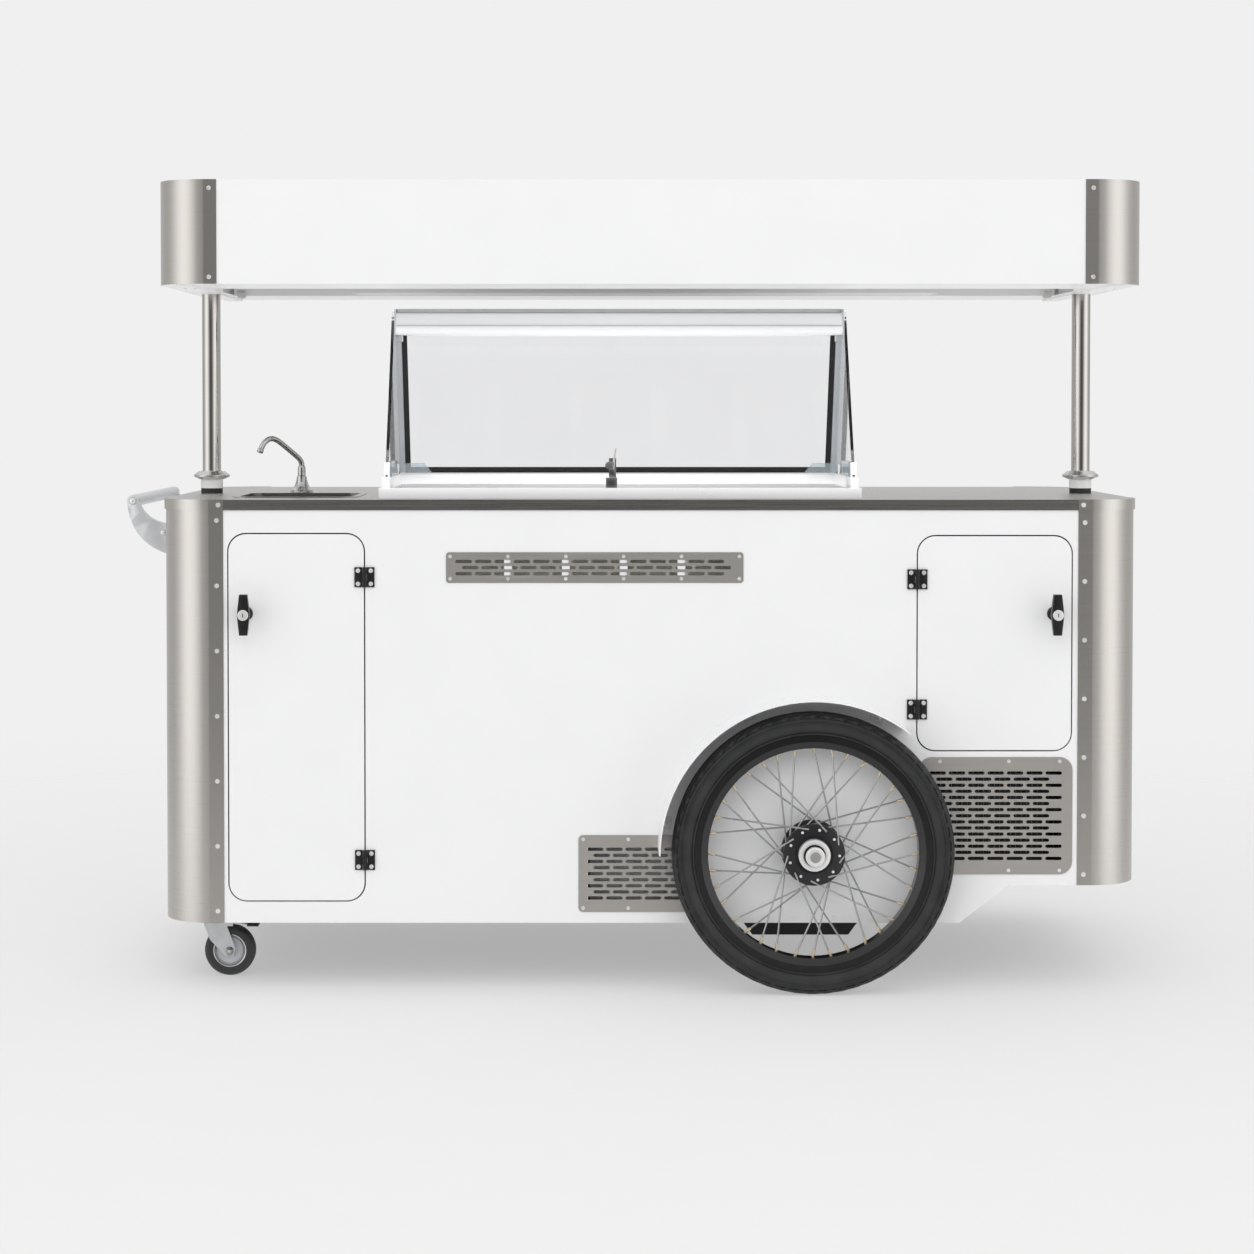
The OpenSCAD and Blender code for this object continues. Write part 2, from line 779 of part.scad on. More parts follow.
module door_leaf(x0, x1, z0, z1, latch_x, latch_z) {
  difference() {
    plate_y(face_y, panel_t - free) polygon(rounded(x0 + door_gap / 2, z0 + door_gap / 2,
      x1 - door_gap / 2, z1 - door_gap / 2, door_r - door_gap / 2));
    rod_y(latch_x, latch_z, face_y - 1, back_y + 1, shaft_r + run);
  }
}

latch_z = door_top - latch_drop;
latch_l_x = door_l_x0 + latch_in;
latch_r_x = door_r_x1 - latch_in;

module door_left() {
  placed(white) door_leaf(door_l_x0, door_l_x1, door_l_z0, door_top, latch_l_x, latch_z);
}

module door_right() {
  placed(white) door_leaf(door_r_x0, door_r_x1, door_r_z0, door_top - 4, latch_r_x, latch_z);
}

left_hinges = [door_l_z0 + 80, door_top - 84];
right_hinges = [door_r_z0 + 80, door_top - 88];

// One leaf of a hinge: s is -1 for a leaf on the left of the pin, and 1 on the right.
module leaf(x, z, s, door_side) {
  third = hinge_w / 3;
  knuckles = door_side ? [[-third / 2 + free / 2, third - free]] :
    [[-hinge_w / 2, third - free / 2], [third / 2 + free / 2, third - free / 2]];
  difference() {
    union() {
      translate([s > 0 ? x + hinge_r + 1 : x - hinge_w / 2, face_y - leaf_t, z - hinge_w / 2])
        cube([hinge_w / 2 - hinge_r - 1, leaf_t, hinge_w]);
      for (k = knuckles) {
        translate([x, hinge_y, z + k[0]]) cylinder(h = k[1], r = hinge_r);
        translate([s > 0 ? x : x - hinge_r - 2, face_y - leaf_t, z + k[0]])
          cube([hinge_r + 2, leaf_t - 0.6, k[1]]);
      }
    }
    if (door_side) rod_z(x, hinge_y, z - hinge_w, z + hinge_w, pin_r + run);
  }
}

module hinge_frames() {
  placed(black) {
    for (z = left_hinges) {
      leaf(door_l_x1, z, 1, false);
      rod_z(door_l_x1, hinge_y, z - hinge_w / 2, z + hinge_w / 2, pin_r);
    }
    for (z = right_hinges) {
      leaf(door_r_x0, z, -1, false);
      rod_z(door_r_x0, hinge_y, z - hinge_w / 2, z + hinge_w / 2, pin_r);
    }
  }
}

module door_left_leaves() {
  placed(black) for (z = left_hinges) leaf(door_l_x1, z, -1, true);
}

module door_right_leaves() {
  placed(black) for (z = right_hinges) leaf(door_r_x0, z, 1, true);
}

module t_handle(x) {
  grip = concat([[-7.5, -39], [7.5, -39]], bend([7.5, -39], [11, -10], [11.5, 0], 4),
    bend([11.5, 0], [11, 10], [7.5, 39], 4), [[7.5, 39], [-7.5, 39]],
    bend([-7.5, 39], [-11, 10], [-11.5, 0], 4), bend([-11.5, 0], [-11, -10], [-7.5, -39], 4));
  placed(black) {
    translate([x, 0, latch_z]) plate_y(face_y - grip_out, 14) polygon(grip);
    rod_y(x, latch_z, face_y - grip_out - 3, face_y - 5 - free, 10);
    rod_y(x, latch_z, face_y - 5 - free, back_y + gasket_t + 7, shaft_r);
    box(x - 8, back_y + gasket_t + 3, latch_z - cam_l, x + 8, back_y + gasket_t + 6, latch_z + 8);
  }
}

module t_handle_left() {
  t_handle(latch_l_x);
}

module t_handle_right() {
  t_handle(latch_r_x);
}

// ---- seals and pole fittings ----

module gasket_ring(x0, z0, x1, z1) {
  plate_y(back_y, gasket_t) outline([
    rounded(x0 - 6, z0 - 6, x1 + 6, z1 + 6, door_r + 6),
    rounded(x0 + 12, z0 + 12, x1 - 12, z1 - 12, door_r - 12)]);
}

module tube_z(x, z0, z1, r0, r1) {
  difference() {
    rod_z(x, 0, z0, z1, r1);
    rod_z(x, 0, z0 - 1, z1 + 1, r0);
  }
}

module rubber_seals() {
  placed(black) {
    gasket_ring(door_l_x0, door_l_z0, door_l_x1, door_top);
    gasket_ring(door_r_x0, door_r_z0, door_r_x1, door_top - 4);
    both_ends() tube_z(pole_x, counter_h, counter_h + seal_h, pole_r + 0.5, 22.2);
  }
}

module pole_bushes() {
  z = counter_h + seal_h;
  placed(white) both_ends() tube_z(pole_x, z, z + bush_h, pole_r + run, bush_r);
}

module pole_collars() {
  z = counter_h + seal_h + bush_h;
  placed(steel) both_ends() translate([pole_x, 0, z]) rotate_extrude() polygon([
    [pole_r + 0.5, 0], [bush_r + 3, 0], [collar_r, 5], [collar_r, 9], [bush_r + 4, collar_h],
    [pole_r + 0.5, collar_h]]);
}

module pole_sleeves() {
  z0 = pole_stop_z - 8;
  r = pole_r + 0.5;
  placed(steel) both_ends() {
    tube_z(pole_x, z0, sheet_top, r, r + 2);
    rod_z(pole_x, 0, z0, pole_stop_z, r + 1);
    box(pole_x - 15, -6, z0, end_x - panel_t, 6, z0 + 8);
    box(pole_x + r + 1, -6, under_top - 60, end_x - panel_t, 6, under_top - 40);
  }
}

// ---- display ----

module display_base() {
  ix0 = display_x0 + rail_side;
  ix1 = display_x1 - rail_side;
  iy0 = display_y0 + rail_front;
  iy1 = display_y1 - rail_rear;
  placed(white) {
    plate_z(counter_h, base_h) outline([
      rounded(display_x0, display_y0, display_x1, display_y1, 6, 3), rounded(ix0, iy0, ix1, iy1, 3, 2)]);
    plate_z(counter_h + base_h, rear_rail_h - base_h)
      polygon(rounded(display_x0, display_y1 - rail_rear, display_x1, display_y1, 6, 3));
    for (x = [display_x0 + 7, display_x1 - 22]) {
      box(x, display_y0 + 2, counter_h + base_h, x + 15, display_y1 - rail_rear, counter_h + side_rail_h - 1);
    }
  }
}

// A point on the slope of the rear pane: s down from its top, n out from its inner face
function on_pane(s, n) = [
  pane_top_y + s * sin(pane_a) + n * cos(pane_a), glass_top - s * cos(pane_a) + n * sin(pane_a)];

pane_seal = 3;
seat_n = -pane_seal - free;

module side_glasses() {
  foot = counter_h + side_rail_h - 1;
  shape = [
    [display_y0 + 20, foot], [display_y0 + 217, glass_top],
    on_pane(0, seat_n - 4), on_pane(pane_len - 4, seat_n)];
  placed(clear) for (x = [display_x0 + glass_in, display_x1 - glass_in - glass_t]) plate_x(x, glass_t) polygon(shape);
}

// Sloping posts inside the side glasses, and the plates that carry the header and the pane's rod
module display_posts() {
  in = glass_in + glass_t;
  post = [on_pane(30, seat_n - 9), on_pane(30, seat_n), on_pane(pane_len - 4, seat_n), on_pane(pane_len - 4, seat_n - 9)];
  ear = [
    [header_y0 - 2, glass_top - header_h], [header_y1, glass_top - header_h], on_pane(48, seat_n - 9),
    on_pane(20, seat_n - 9), [rod_y - 6, rod_z - 4], [rod_y + 2, rod_z - 5], [rod_y + 6, rod_z + 5],
    [header_y0 + 4, glass_top + 5]];
  placed(grey) {
    for (x = [display_x0 + in, display_x1 - in - post_w]) plate_x(x, post_w) polygon(post);
    for (x = [display_x0 + in, display_x1 - in - 3]) plate_x(x, 3) polygon(ear);
    rod_x(rod_y, rod_z, display_x0 + in, display_x1 - in, rod_r);
  }
}

module header() {
  in = glass_in + glass_t + 3;
  z0 = glass_top - header_h;
  placed(grey) plate_x(display_x0 + in, display_l - 2 * in) polygon(concat(
    [[header_y1, z0 + 3], [header_y1, glass_top - 2], [header_y0 + 6, glass_top - 2], [header_y0, z0 + 20]],
    bend([header_y0 - 1, z0 + 19], [header_y0 - 6, z0 + 6], [header_y0 + 4, z0], 5),
    [[header_y1 - 6, z0]]));
}

module rear_pane() {
  in = glass_in;
  placed(clear) plate_x(display_x0 + in, display_l - 2 * in) polygon([
    on_pane(22, 0), on_pane(22, glass_t), on_pane(pane_len, glass_t), on_pane(pane_len, 0)]);
}

// Seal strips on the pane's inner face, and the clamp bar that turns on the rod
module pane_trim() {
  in = glass_in;
  w = 27;
  strip = [on_pane(26, -pane_seal), on_pane(26, 0), on_pane(pane_len, 0), on_pane(pane_len, -pane_seal)];
  foot = [on_pane(pane_len - 12, -pane_seal), on_pane(pane_len - 12, 0), on_pane(pane_len, 0),
    on_pane(pane_len, -pane_seal)];
  x0 = display_x0 + glass_in + glass_t + 4;
  x1 = display_x1 - glass_in - glass_t - 4;
  placed(black) {
    for (x = [display_x0 + in, display_x1 - in - w]) plate_x(x, w) polygon(strip);
    plate_x(display_x0 + in + w, display_l - 2 * (in + w)) polygon(foot);
    difference() {
      union() {
        rod_x(rod_y, rod_z, x0, x1, 6);
        plate_x(x0, x1 - x0) polygon([on_pane(4, glass_t + 3), on_pane(32, glass_t + 3), on_pane(32, glass_t),
          on_pane(22, glass_t), on_pane(22, 0), on_pane(4, 0)]);
      }
      rod_x(rod_y, rod_z, x0 - 1, x1 + 1, rod_r + run);
    }
  }
}

module latch_post() {
  z0 = counter_h + base_h;
  x = -75;
  y = display_y0 + 9;
  placed(steel) {
    box(x - 11, y - 7, z0, x + 11, y + 7, z0 + 20);
    box(x - 5, y - 4, z0 + 20, x + 9, y + 4, z0 + 58);
    rod_y(x - 4, z0 + 44, y - 14, y - 4, 7);
  }
}

module well_liner() {
  t = thin;
  x0 = -display_off - well_half;
  x1 = -display_off + well_half;
  placed(steel) {
    plate_z(well_floor, counter_h - well_floor) outline([
      rounded(x0, well_y0, x1, well_y1, 5, 3), rounded(x0 + t, well_y0 + t, x1 - t, well_y1 - t, 4, 3)]);
    plate_z(well_floor, t) polygon(rounded(x0, well_y0, x1, well_y1, 5, 3));
    for (y = [well_y0 + t, well_y1 - t - 9]) box(x0 + t, y, ledge_z - 8, x1 - t, y + 9, ledge_z);
  }
}

module well_insulation() {
  x0 = -display_off - well_half;
  x1 = -display_off + well_half;
  z0 = well_floor - foam_t;
  front = min(foam_t, well_y0 - back_y - tube - 1);
  g = free;
  placed(white) {
    plate_z(z0, sheet_top - z0) outline([
      rounded(x0 - foam_t, well_y0 - front, x1 + foam_t, well_y1 + foam_t, 8, 3),
      rounded(x0 - g, well_y0 - g, x1 + g, well_y1 + g, 5, 3)]);
    plate_z(z0, foam_t) polygon(rounded(x0 - foam_t, well_y0 - front, x1 + foam_t, well_y1 + foam_t, 8, 3));
  }
}

module gelato_pans() {
  t = 1;
  y0 = (well_y0 + well_y1 - pan_l) / 2;
  placed(steel) for (i = [0:pans - 1]) {
    x0 = -display_off + (i - pans / 2) * pan_w + 0.5;
    x1 = x0 + pan_w - 1;
    plate_z(ledge_z, t) outline([
      rounded(x0, y0, x1, y0 + pan_l, 14, 4), rounded(x0 + 13, y0 + 13, x1 - 13, y0 + pan_l - 13, pan_r, 4)]);
    plate_z(ledge_z - pan_h, pan_h) outline([
      rounded(x0 + 12, y0 + 12, x1 - 12, y0 + pan_l - 12, pan_r + t, 4),
      rounded(x0 + 13, y0 + 13, x1 - 13, y0 + pan_l - 13, pan_r, 4)]);
    plate_z(ledge_z - pan_h - t, t) polygon(rounded(x0 + 12, y0 + 12, x1 - 12, y0 + pan_l - 12, pan_r + t, 4));
  }
}

// ---- push handle ----

module push_handle() {
  tip = arc(handle_x, handle_z, handle_r, 20, 200, 8);
  arm = concat(tip,
    bend([handle_x - handle_r + 1, handle_z - 6], [handle_x - 2, handle_z - 84], [-end_x, counter_h - 113], 12),
    bend([-end_x, counter_h - 53], [handle_x + 22, handle_z - 40], [handle_x + handle_r - 1, handle_z - 2], 8));
  placed(grey) {
    both_sides() plate_y(-handle_half - 8, 22) polygon(arm);
    rod_y(handle_x, handle_z, -handle_half + 10, handle_half - 10, handle_r);
  }
}

// ---- inside ----

bay_x = door_r_x0 + 22;
tray_z = high_z + tube;
fan_x = 640;
fan_z = tray_z + 95;
fan_y = back_y + 120;

module condensing_unit() {
  placed(grey) {
    box(bay_x, back_y + tube + 6, tray_z, col_x - tube - 4, 60, tray_z + 3);
    box(bay_x + 20, back_y + tube + 14, tray_z + 3, bay_x + 240, back_y + tube + 54, tray_z + 190);
    rod_z(bay_x + 150, -60, tray_z + 3, tray_z + 130, 75);
    translate([bay_x + 150, -60, tray_z + 130]) scale(1) difference() {
      sphere(r = 75);
      translate([-80, -80, -160]) cube(160);
    }
    box(fan_x - 20, fan_y + 36, tray_z + 3, fan_x + 20, fan_y + 44, fan_z);
    rod_y(fan_x, fan_z, fan_y + 20, fan_y + 62, 26);
    rod_y(fan_x, fan_z, fan_y - 14, fan_y + 20, 4);
  }
}

module condenser_fan() {
  placed(black) difference() {
    union() {
      rod_y(fan_x, fan_z, fan_y - 12, fan_y + 12, 18);
      for (a = [0:72:359]) translate([fan_x, fan_y, fan_z]) rotate([0, a, 0]) translate([0, 0, 16])
        rotate([0, 0, 28]) translate([-14, -1.2, 0]) cube([28, 2.4, 58]);
    }
    rod_y(fan_x, fan_z, fan_y - 20, fan_y + 19, 4 + run);
  }
}

module electrical_box() {
  placed(white) box(-118, back_y + tube + 20, low_z, 118, -130, low_z + 210);
}

// Waste and fresh tanks, the pump on the fresh tank, the drain and the feed to the tap
module water_system() {
  top = low_z + 400;
  y0 = back_y + tube + 10;
  placed(white) {
    difference() {
      union() {
        plate_z(low_z, top - low_z) polygon(rounded(sink_x - 120, y0, sink_x + 4, 40, 20, 4));
        rod_z(sink_x - 40, sink_y, top, top + 25, 30);
      }
      rod_z(sink_x - 40, sink_y, top - 30, top + 30, drain_r);
    }
    plate_z(low_z, top - low_z) polygon(rounded(sink_x + 8, y0, sink_x + 128, 40, 20, 4));
    rod_z(sink_x + 40, 0, top, top + 70, 24);
    pipe([[sink_x + 40, 0, top + 70], [sink_x + 40, 0, top + 160], [tap_x, tap_y, top + 240],
      [tap_x, tap_y, counter_h - 52]], 6);
    rod_z(sink_x, sink_y, counter_h - sink_h - thin - 6, counter_h - sink_h - thin, drain_r + 8);
    pipe([[sink_x, sink_y, counter_h - sink_h - thin - 1], [sink_x, sink_y, counter_h - sink_h - 60],
      [sink_x - 40, sink_y, counter_h - sink_h - 110], [sink_x - 40, sink_y, top]], drain_r - 3);
  }
}

// ---- canopy ----

canopy_x = canopy_l / 2;
canopy_y = canopy_d / 2;

module canopy_panels() {
  x = canopy_x - canopy_r;
  y = canopy_y - canopy_r;
  placed(white) {
    both_sides() box(-x, -canopy_y + sheet_t, canopy_z, x, -canopy_y + sheet_t + fascia_t, canopy_z + canopy_h);
    both_ends() box(canopy_x - sheet_t - fascia_t, -y, canopy_z, canopy_x - sheet_t, y, canopy_z + canopy_h);
  }
}

module canopy_caps() {
  placed(steel) both_ends() both_sides() {
    corner_sheet(canopy_x - canopy_r, -canopy_y + canopy_r, canopy_r, sheet_t, cap_flat, canopy_z, canopy_z + canopy_h);
    for (z = [14, canopy_h - 14]) {
      rod_y(canopy_x - canopy_r - 11, canopy_z + z, -canopy_y - 2.2, -canopy_y, 4.5);
    }
  }
}

canopy_deck = deck(canopy_x, canopy_y, canopy_r, sheet_t + fascia_t);

module canopy_roof() {
  placed(white) plate_z(canopy_z + canopy_h - roof_t, roof_t) polygon(canopy_deck);
}

// Soffit with a long bay down its middle, and the two bars that the poles carry
module canopy_frame() {
  bar_in = pole_x + crossbar / 2 - canopy_x + canopy_r;
  bar_y = canopy_y - canopy_r + sqrt(pow(canopy_r - sheet_t, 2) - pow(bar_in, 2)) - free;
  bay_x1 = pole_x - 24;
  placed(white) {
    plate_z(canopy_z, soffit_t) outline([canopy_deck,
      rounded(-bay_x1, -bay_half_d, bay_x1, bay_half_d, 4, 2)]);
    both_ends() box(pole_x - crossbar / 2, -bar_y, canopy_z - 4, pole_x + crossbar / 2, bar_y, canopy_z + 26);
    both_sides() box(-bay_x1, -bay_half_d - 2, canopy_z, bay_x1, -bay_half_d, canopy_z + 24);
  }
}

module canopy_poles() {
  placed(steel) both_ends() tube_z(pole_x, pole_stop_z, canopy_z - 4, pole_r - 2, pole_r);
}

floor_pan();
frame_rails();
frame_posts();
front_panel();
rear_panel();
end_panels();
corner_columns();
body_screws();
worktop();
worktop_trims();
sink_bowl();
tap_base();
tap_spout();
vent_grilles();
fenders();
axle();
pole_bushes();
pole_collars();
pole_sleeves();
rubber_seals();
display_base();
side_glasses();
display_posts();
header();
latch_post();
well_liner();
well_insulation();
gelato_pans();
push_handle();
hinge_frames();
caster_plates();
condensing_unit();
condenser_fan();
electrical_box();
water_system();
rear_pane();
pane_trim();
door_left();
door_right();
door_left_leaves();
door_right_leaves();
t_handle_left();
t_handle_right();
canopy_panels();
canopy_roof();
canopy_frame();
canopy_caps();
canopy_poles();
near_tyre();
near_rim();
near_hub();
far_tyre();
far_rim();
far_hub();
near_fork();
far_fork();
near_caster_wheel();
far_caster_wheel();
near_brake_pedal();
far_brake_pedal();
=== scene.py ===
"""Looks for the push vending cart: materials, fine detail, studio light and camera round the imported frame."""
import json
import math

import bmesh
import bpy
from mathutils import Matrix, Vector

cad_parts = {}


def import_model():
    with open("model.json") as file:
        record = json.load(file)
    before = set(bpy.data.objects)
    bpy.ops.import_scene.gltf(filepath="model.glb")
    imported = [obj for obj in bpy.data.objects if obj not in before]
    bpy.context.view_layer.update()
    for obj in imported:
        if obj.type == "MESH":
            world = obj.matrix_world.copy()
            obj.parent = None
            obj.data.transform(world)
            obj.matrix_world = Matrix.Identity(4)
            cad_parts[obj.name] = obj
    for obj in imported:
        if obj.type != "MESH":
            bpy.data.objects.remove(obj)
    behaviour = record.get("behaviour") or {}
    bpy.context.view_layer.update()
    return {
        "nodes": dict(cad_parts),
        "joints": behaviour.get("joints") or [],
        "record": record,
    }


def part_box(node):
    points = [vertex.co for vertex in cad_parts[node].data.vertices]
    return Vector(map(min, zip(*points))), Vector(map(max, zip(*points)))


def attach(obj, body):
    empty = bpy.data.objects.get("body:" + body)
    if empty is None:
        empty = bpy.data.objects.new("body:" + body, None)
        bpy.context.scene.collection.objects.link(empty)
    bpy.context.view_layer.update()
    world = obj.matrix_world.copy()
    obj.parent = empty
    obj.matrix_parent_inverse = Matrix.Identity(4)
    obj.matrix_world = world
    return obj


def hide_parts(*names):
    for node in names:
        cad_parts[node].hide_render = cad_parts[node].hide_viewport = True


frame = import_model()
nodes = frame["nodes"]
scene = bpy.context.scene
MM = 0.001


# ---- small helpers ----

def lo(node):
    return Vector(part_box(node)[0])


def hi(node):
    return Vector(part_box(node)[1])


def mid(node):
    return (lo(node) + hi(node)) / 2


def piece(name, bm, mat, body, smooth=True, angle=35):
    """A finished mesh piece that rides on a body."""
    mesh = bpy.data.meshes.new(name)
    bmesh.ops.recalc_face_normals(bm, faces=bm.faces)
    bm.to_mesh(mesh)
    bm.free()
    mesh.materials.append(mat)
    if smooth:
        mesh.polygons.foreach_set("use_smooth", [True] * len(mesh.polygons))
        mesh.set_sharp_from_angle(angle=math.radians(angle))
    obj = bpy.data.objects.new(name, mesh)
    scene.collection.objects.link(obj)
    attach(obj, body)
    return obj


def bevelled(obj, width, segments=2, angle=40):
    """Rounds the sharp edges of a piece with a modifier. width is in metres."""
    mod = obj.modifiers.new("edge", "BEVEL")
    mod.width = width
    mod.segments = segments
    mod.limit_method = "ANGLE"
    mod.angle_limit = math.radians(angle)
    mod.harden_normals = False
    return obj


def add_box(bm, a, b):
    """A box between two corners, in metres."""
    a, b = Vector(a), Vector(b)
    size = b - a
    made = bmesh.ops.create_cube(bm, size=1.0)
    bmesh.ops.scale(bm, vec=size, verts=made["verts"])
    bmesh.ops.translate(bm, vec=(a + b) / 2, verts=made["verts"])


def add_lathe(bm, profile, origin, axis, steps=48, closed=False):
    """Turns (radius, along) points about an axis through origin. An end with radius 0 closes on the axis."""
    turn = Vector((0, 0, 1)).rotation_difference(Vector(axis).normalized()).to_matrix()
    rings = []
    for r, h in profile:
        if r < 1e-7:
            rings.append([bm.verts.new(Vector(origin) + turn @ Vector((0, 0, h)))])
            continue
        angles = [2 * math.pi * i / steps for i in range(steps)]
        rings.append([bm.verts.new(Vector(origin) + turn @ Vector((r * math.cos(a), r * math.sin(a), h)))
                      for a in angles])
    pairs = list(zip(rings, rings[1:]))
    if closed:
        pairs.append((rings[-1], rings[0]))
    for one, two in pairs:
        for i in range(steps):
            j = (i + 1) % steps
            loop = [one[i % len(one)], one[j % len(one)], two[j % len(two)], two[i % len(two)]]
            face = [v for k, v in enumerate(loop) if v not in loop[:k]]
            if len(face) > 2:
                bm.faces.new(face)


def in_mm(profile):
    """A profile given in millimetres, in metres."""
    return [(r * MM, h * MM) for r, h in profile]


def add_prism(bm, outline, axis, start, end):
    """A closed outline of 2-D points swept along an axis. The points are on the other two, in X, Y, Z order."""
    def at(p, h):
        q = list(p)
        q.insert("xyz".index(axis), h)
        return bm.verts.new(q)
    one = [at(p, start) for p in outline]
    two = [at(p, end) for p in outline]
    bm.faces.new(one)
    bm.faces.new(list(reversed(two)))
    for i in range(len(one)):
        j = (i + 1) % len(one)
        bm.faces.new([one[i], two[i], two[j], one[j]])


def add_tube(bm, path, radius, sides=16):
    """A round tube along points, closed at both ends. radius is a number or a function of the share along."""
    path = [Vector(p) for p in path]
    across = None
    rings = []
    for i, p in enumerate(path):
        ahead = (path[min(i + 1, len(path) - 1)] - path[max(i - 1, 0)]).normalized()
        if across is None:
            across = ahead.orthogonal().normalized()
        across = (across - ahead * across.dot(ahead)).normalized()
        other = ahead.cross(across)
        r = radius(i / (len(path) - 1)) if callable(radius) else radius
        angles = [2 * math.pi * k / sides for k in range(sides)]
        rings.append([bm.verts.new(p + (across * math.cos(a) + other * math.sin(a)) * r) for a in angles])
    for one, two in zip(rings, rings[1:]):
        for k in range(sides):
            m = (k + 1) % sides
            bm.faces.new([one[k], one[m], two[m], two[k]])
    bm.faces.new(list(reversed(rings[0])))
    bm.faces.new(rings[-1])


def curve_through(points, steps=8):
    """A smooth line through given points."""
    pts = [Vector(p) for p in points]
    pts = [pts[0] * 2 - pts[1]] + pts + [pts[-1] * 2 - pts[-2]]
    out = []
    for i in range(1, len(pts) - 2):
        a, b, c, d = pts[i - 1:i + 3]
        for k in range(steps):
            t = k / steps
            out.append(0.5 * ((2 * b) + (c - a) * t + (2 * a - 5 * b + 4 * c - d) * t * t
                              + (3 * b - a - 3 * c + d) * t ** 3))
    out.append(pts[-2])
    return out


def islands(node):
    """The boxes (lowest, highest corner) of a node's separate solids."""
    bm = bmesh.new()
    bm.from_mesh(nodes[node].data)
    bmesh.ops.remove_doubles(bm, verts=bm.verts, dist=1e-6)
    seen, found = set(), []
    for start in bm.verts:
        if start in seen:
            continue
        stack, group = [start], []
        seen.add(start)
        while stack:
            v = stack.pop()
            group.append(v.co)
            for e in v.link_edges:
                w = e.other_vert(v)
                if w not in seen:
                    seen.add(w)
                    stack.append(w)
        found.append((Vector(min(c[k] for c in group) for k in range(3)),
                      Vector(max(c[k] for c in group) for k in range(3))))
    bm.free()
    return found


# ---- materials ----

def material(name, colour, rough=0.4, metal=0.0, mottle=0.03, mottle_scale=8.0, grain=None, grain_rough=0.1,
             bump=0.02, bump_scale=400.0, coat=0.0, ior=None, transmission=0.0, specular=0.5):
    """A procedural material: mottled colour, uneven roughness and a fine bump, or a brushed grain."""
    mat = bpy.data.materials.new(name)
    mat.use_nodes = True
    tree = mat.node_tree
    bsdf = tree.nodes["Principled BSDF"]
    link = tree.links.new
    place = tree.nodes.new("ShaderNodeTexCoord")

    def noise(scale, stretch=(1, 1, 1), detail=4.0):
        mapping = tree.nodes.new("ShaderNodeMapping")
        mapping.inputs["Scale"].default_value = stretch
        tex = tree.nodes.new("ShaderNodeTexNoise")
        tex.inputs["Scale"].default_value = scale
        tex.inputs["Detail"].default_value = detail
        link(place.outputs["Object"], mapping.inputs["Vector"])
        link(mapping.outputs["Vector"], tex.inputs["Vector"])
        return tex.outputs["Fac"]

    def spread(fac, low, high):
        ranged = tree.nodes.new("ShaderNodeMapRange")
        ranged.inputs["From Min"].default_value = 0.3
        ranged.inputs["From Max"].default_value = 0.7
        ranged.inputs["To Min"].default_value = low
        ranged.inputs["To Max"].default_value = high
        link(fac, ranged.inputs["Value"])
        return ranged.outputs["Result"]

    soft = noise(mottle_scale)
    fine = noise(1.0, grain) if grain else noise(bump_scale)
    blend = tree.nodes.new("ShaderNodeMix")
    blend.data_type = "RGBA"
    blend.inputs["A"].default_value = (*[c * (1 - mottle) for c in colour], 1)
    blend.inputs["B"].default_value = (*[min(1, c * (1 + mottle)) for c in colour], 1)
    link(spread(fine if grain else soft, 0.0, 1.0), blend.inputs["Factor"])
    link(blend.outputs["Result"], bsdf.inputs["Base Color"])
    source = fine if grain else soft
    low, high = max(0.02, rough - grain_rough / 2), rough + grain_rough / 2
    link(spread(source, low, high), bsdf.inputs["Roughness"])
    if bump:
        lift = tree.nodes.new("ShaderNodeBump")
        lift.inputs["Strength"].default_value = bump
        lift.inputs["Distance"].default_value = 0.0005
        link(fine, lift.inputs["Height"])
        link(lift.outputs["Normal"], bsdf.inputs["Normal"])
    bsdf.inputs["Metallic"].default_value = metal
    bsdf.inputs["Coat Weight"].default_value = coat
    bsdf.inputs["Transmission Weight"].default_value = transmission
    bsdf.inputs["Specular IOR Level"].default_value = specular
    if ior:
        bsdf.inputs["IOR"].default_value = ior
    return mat


